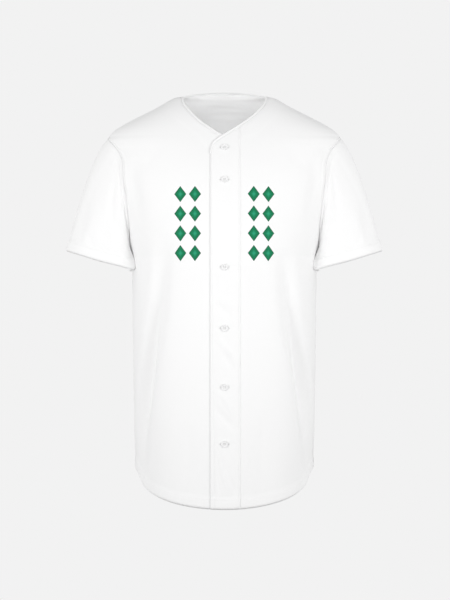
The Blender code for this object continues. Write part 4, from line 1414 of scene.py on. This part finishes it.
def studio_world(background, ceiling):
    """A plain room all round, which gets darker overhead."""
    world = bpy.data.worlds.new("studio")
    world.use_nodes = True
    tree = world.node_tree
    sky = add_node(tree, "ShaderNodeTexCoord").outputs["Generated"]
    level = add_node(tree, "ShaderNodeSeparateXYZ", {0: sky}).outputs["Z"]
    low, high = CEILING_LEVELS
    inputs = {"Value": level, "From Min": low, "From Max": high, "To Min": 1.0, "To Max": ceiling}
    fall = add_node(tree, "ShaderNodeMapRange", inputs, interpolation_type="SMOOTHSTEP")
    inputs = {"Color": linear(background), "Strength": fall.outputs[0]}
    set_inputs(tree, tree.nodes["Background"], inputs)
    return world


def add_floor():
    shape = bmesh.new()
    bmesh.ops.create_circle(shape, cap_ends=True, segments=64, radius=FLOOR_RADIUS)
    bmesh.ops.translate(shape, verts=shape.verts, vec=(0.0, 0.0, FLOOR_HEIGHT))
    mesh = new_mesh("floor", shape)
    mesh.materials.append(speckled_material("painted floor", FLOOR_COLOUR, 0.9, 3.0, 0.0005))
    floor = bpy.data.objects.new("floor", mesh)
    bpy.context.scene.collection.objects.link(floor)


class JERSEY_OT_stage(bpy.types.Operator):
    """Sets up the floor, the light and the camera"""

    bl_idname = "jersey.stage"
    bl_label = "Stage"

    def execute(self, context):
        stage = context.scene.jersey_stage
        scene = context.scene
        scene.view_settings.view_transform = "Standard"
        scene.world = studio_world(stage.background, stage.ceiling)
        add_floor()
        for side, name in ((-1, "softbox right"), (1, "softbox left")):
            place = side * SOFTBOX_PLACE[0], *SOFTBOX_PLACE[1:]
            power, spread = stage.front_light, stage.front_spread
            add_softbox(name, place, SOFTBOX_TARGET, SOFTBOX_SIZE, power, spread)
        place, target = NECK_LIGHT_PLACE, NECK_LIGHT_TARGET
        add_softbox("neck light", place, target, NECK_LIGHT_SIZE, stage.neck_light)
        camera = bpy.data.objects.new("camera", bpy.data.cameras.new("camera"))
        camera.data.lens = LENS
        camera.data.sensor_width = SENSOR_WIDTH
        camera.location = (CAMERA_ACROSS, -stage.camera_distance, CAMERA_HEIGHT)
        camera.rotation_euler = (math.radians(90), 0.0, 0.0)
        scene.collection.objects.link(camera)
        scene.camera = camera
        return {"FINISHED"}


class JERSEY_PT_panel(bpy.types.Panel):
    """Lists the jersey's sizes, colours and pieces"""

    bl_idname = "JERSEY_PT_panel"
    bl_label = "Baseball jersey"
    bl_space_type = "VIEW_3D"
    bl_region_type = "UI"
    bl_category = "Jersey"

    def draw(self, context):
        scene = context.scene
        for group in (scene.jersey_cloth, scene.jersey_trim, scene.jersey_stage):
            for name in group.__annotations__:
                self.layout.prop(group, name)
        for operator in OPERATORS:
            self.layout.operator(operator.bl_idname)


OPERATORS = (
    JERSEY_OT_fronts,
    JERSEY_OT_back,
    JERSEY_OT_sleeves,
    JERSEY_OT_placket,
    JERSEY_OT_binding,
    JERSEY_OT_allowances,
    JERSEY_OT_stitching,
    JERSEY_OT_buttonholes,
    JERSEY_OT_buttons,
    JERSEY_OT_stage,
)
CLASSES = (ClothSettings, TrimSettings, StageSettings, *OPERATORS, JERSEY_PT_panel)


def register():
    for each in CLASSES:
        bpy.utils.register_class(each)
    bpy.types.Scene.jersey_cloth = PointerProperty(type=ClothSettings)
    bpy.types.Scene.jersey_trim = PointerProperty(type=TrimSettings)
    bpy.types.Scene.jersey_stage = PointerProperty(type=StageSettings)


def unregister():
    del bpy.types.Scene.jersey_stage
    del bpy.types.Scene.jersey_trim
    del bpy.types.Scene.jersey_cloth
    for each in reversed(CLASSES):
        bpy.utils.unregister_class(each)


def main():
    register()
    bpy.ops.jersey.fronts()
    bpy.ops.jersey.back()
    bpy.ops.jersey.sleeves()
    bpy.ops.jersey.placket()
    bpy.ops.jersey.binding()
    bpy.ops.jersey.allowances()
    bpy.ops.jersey.stitching()
    bpy.ops.jersey.buttonholes()
    bpy.ops.jersey.buttons()
    bpy.ops.jersey.stage()


if __name__ == "__main__":
    main()
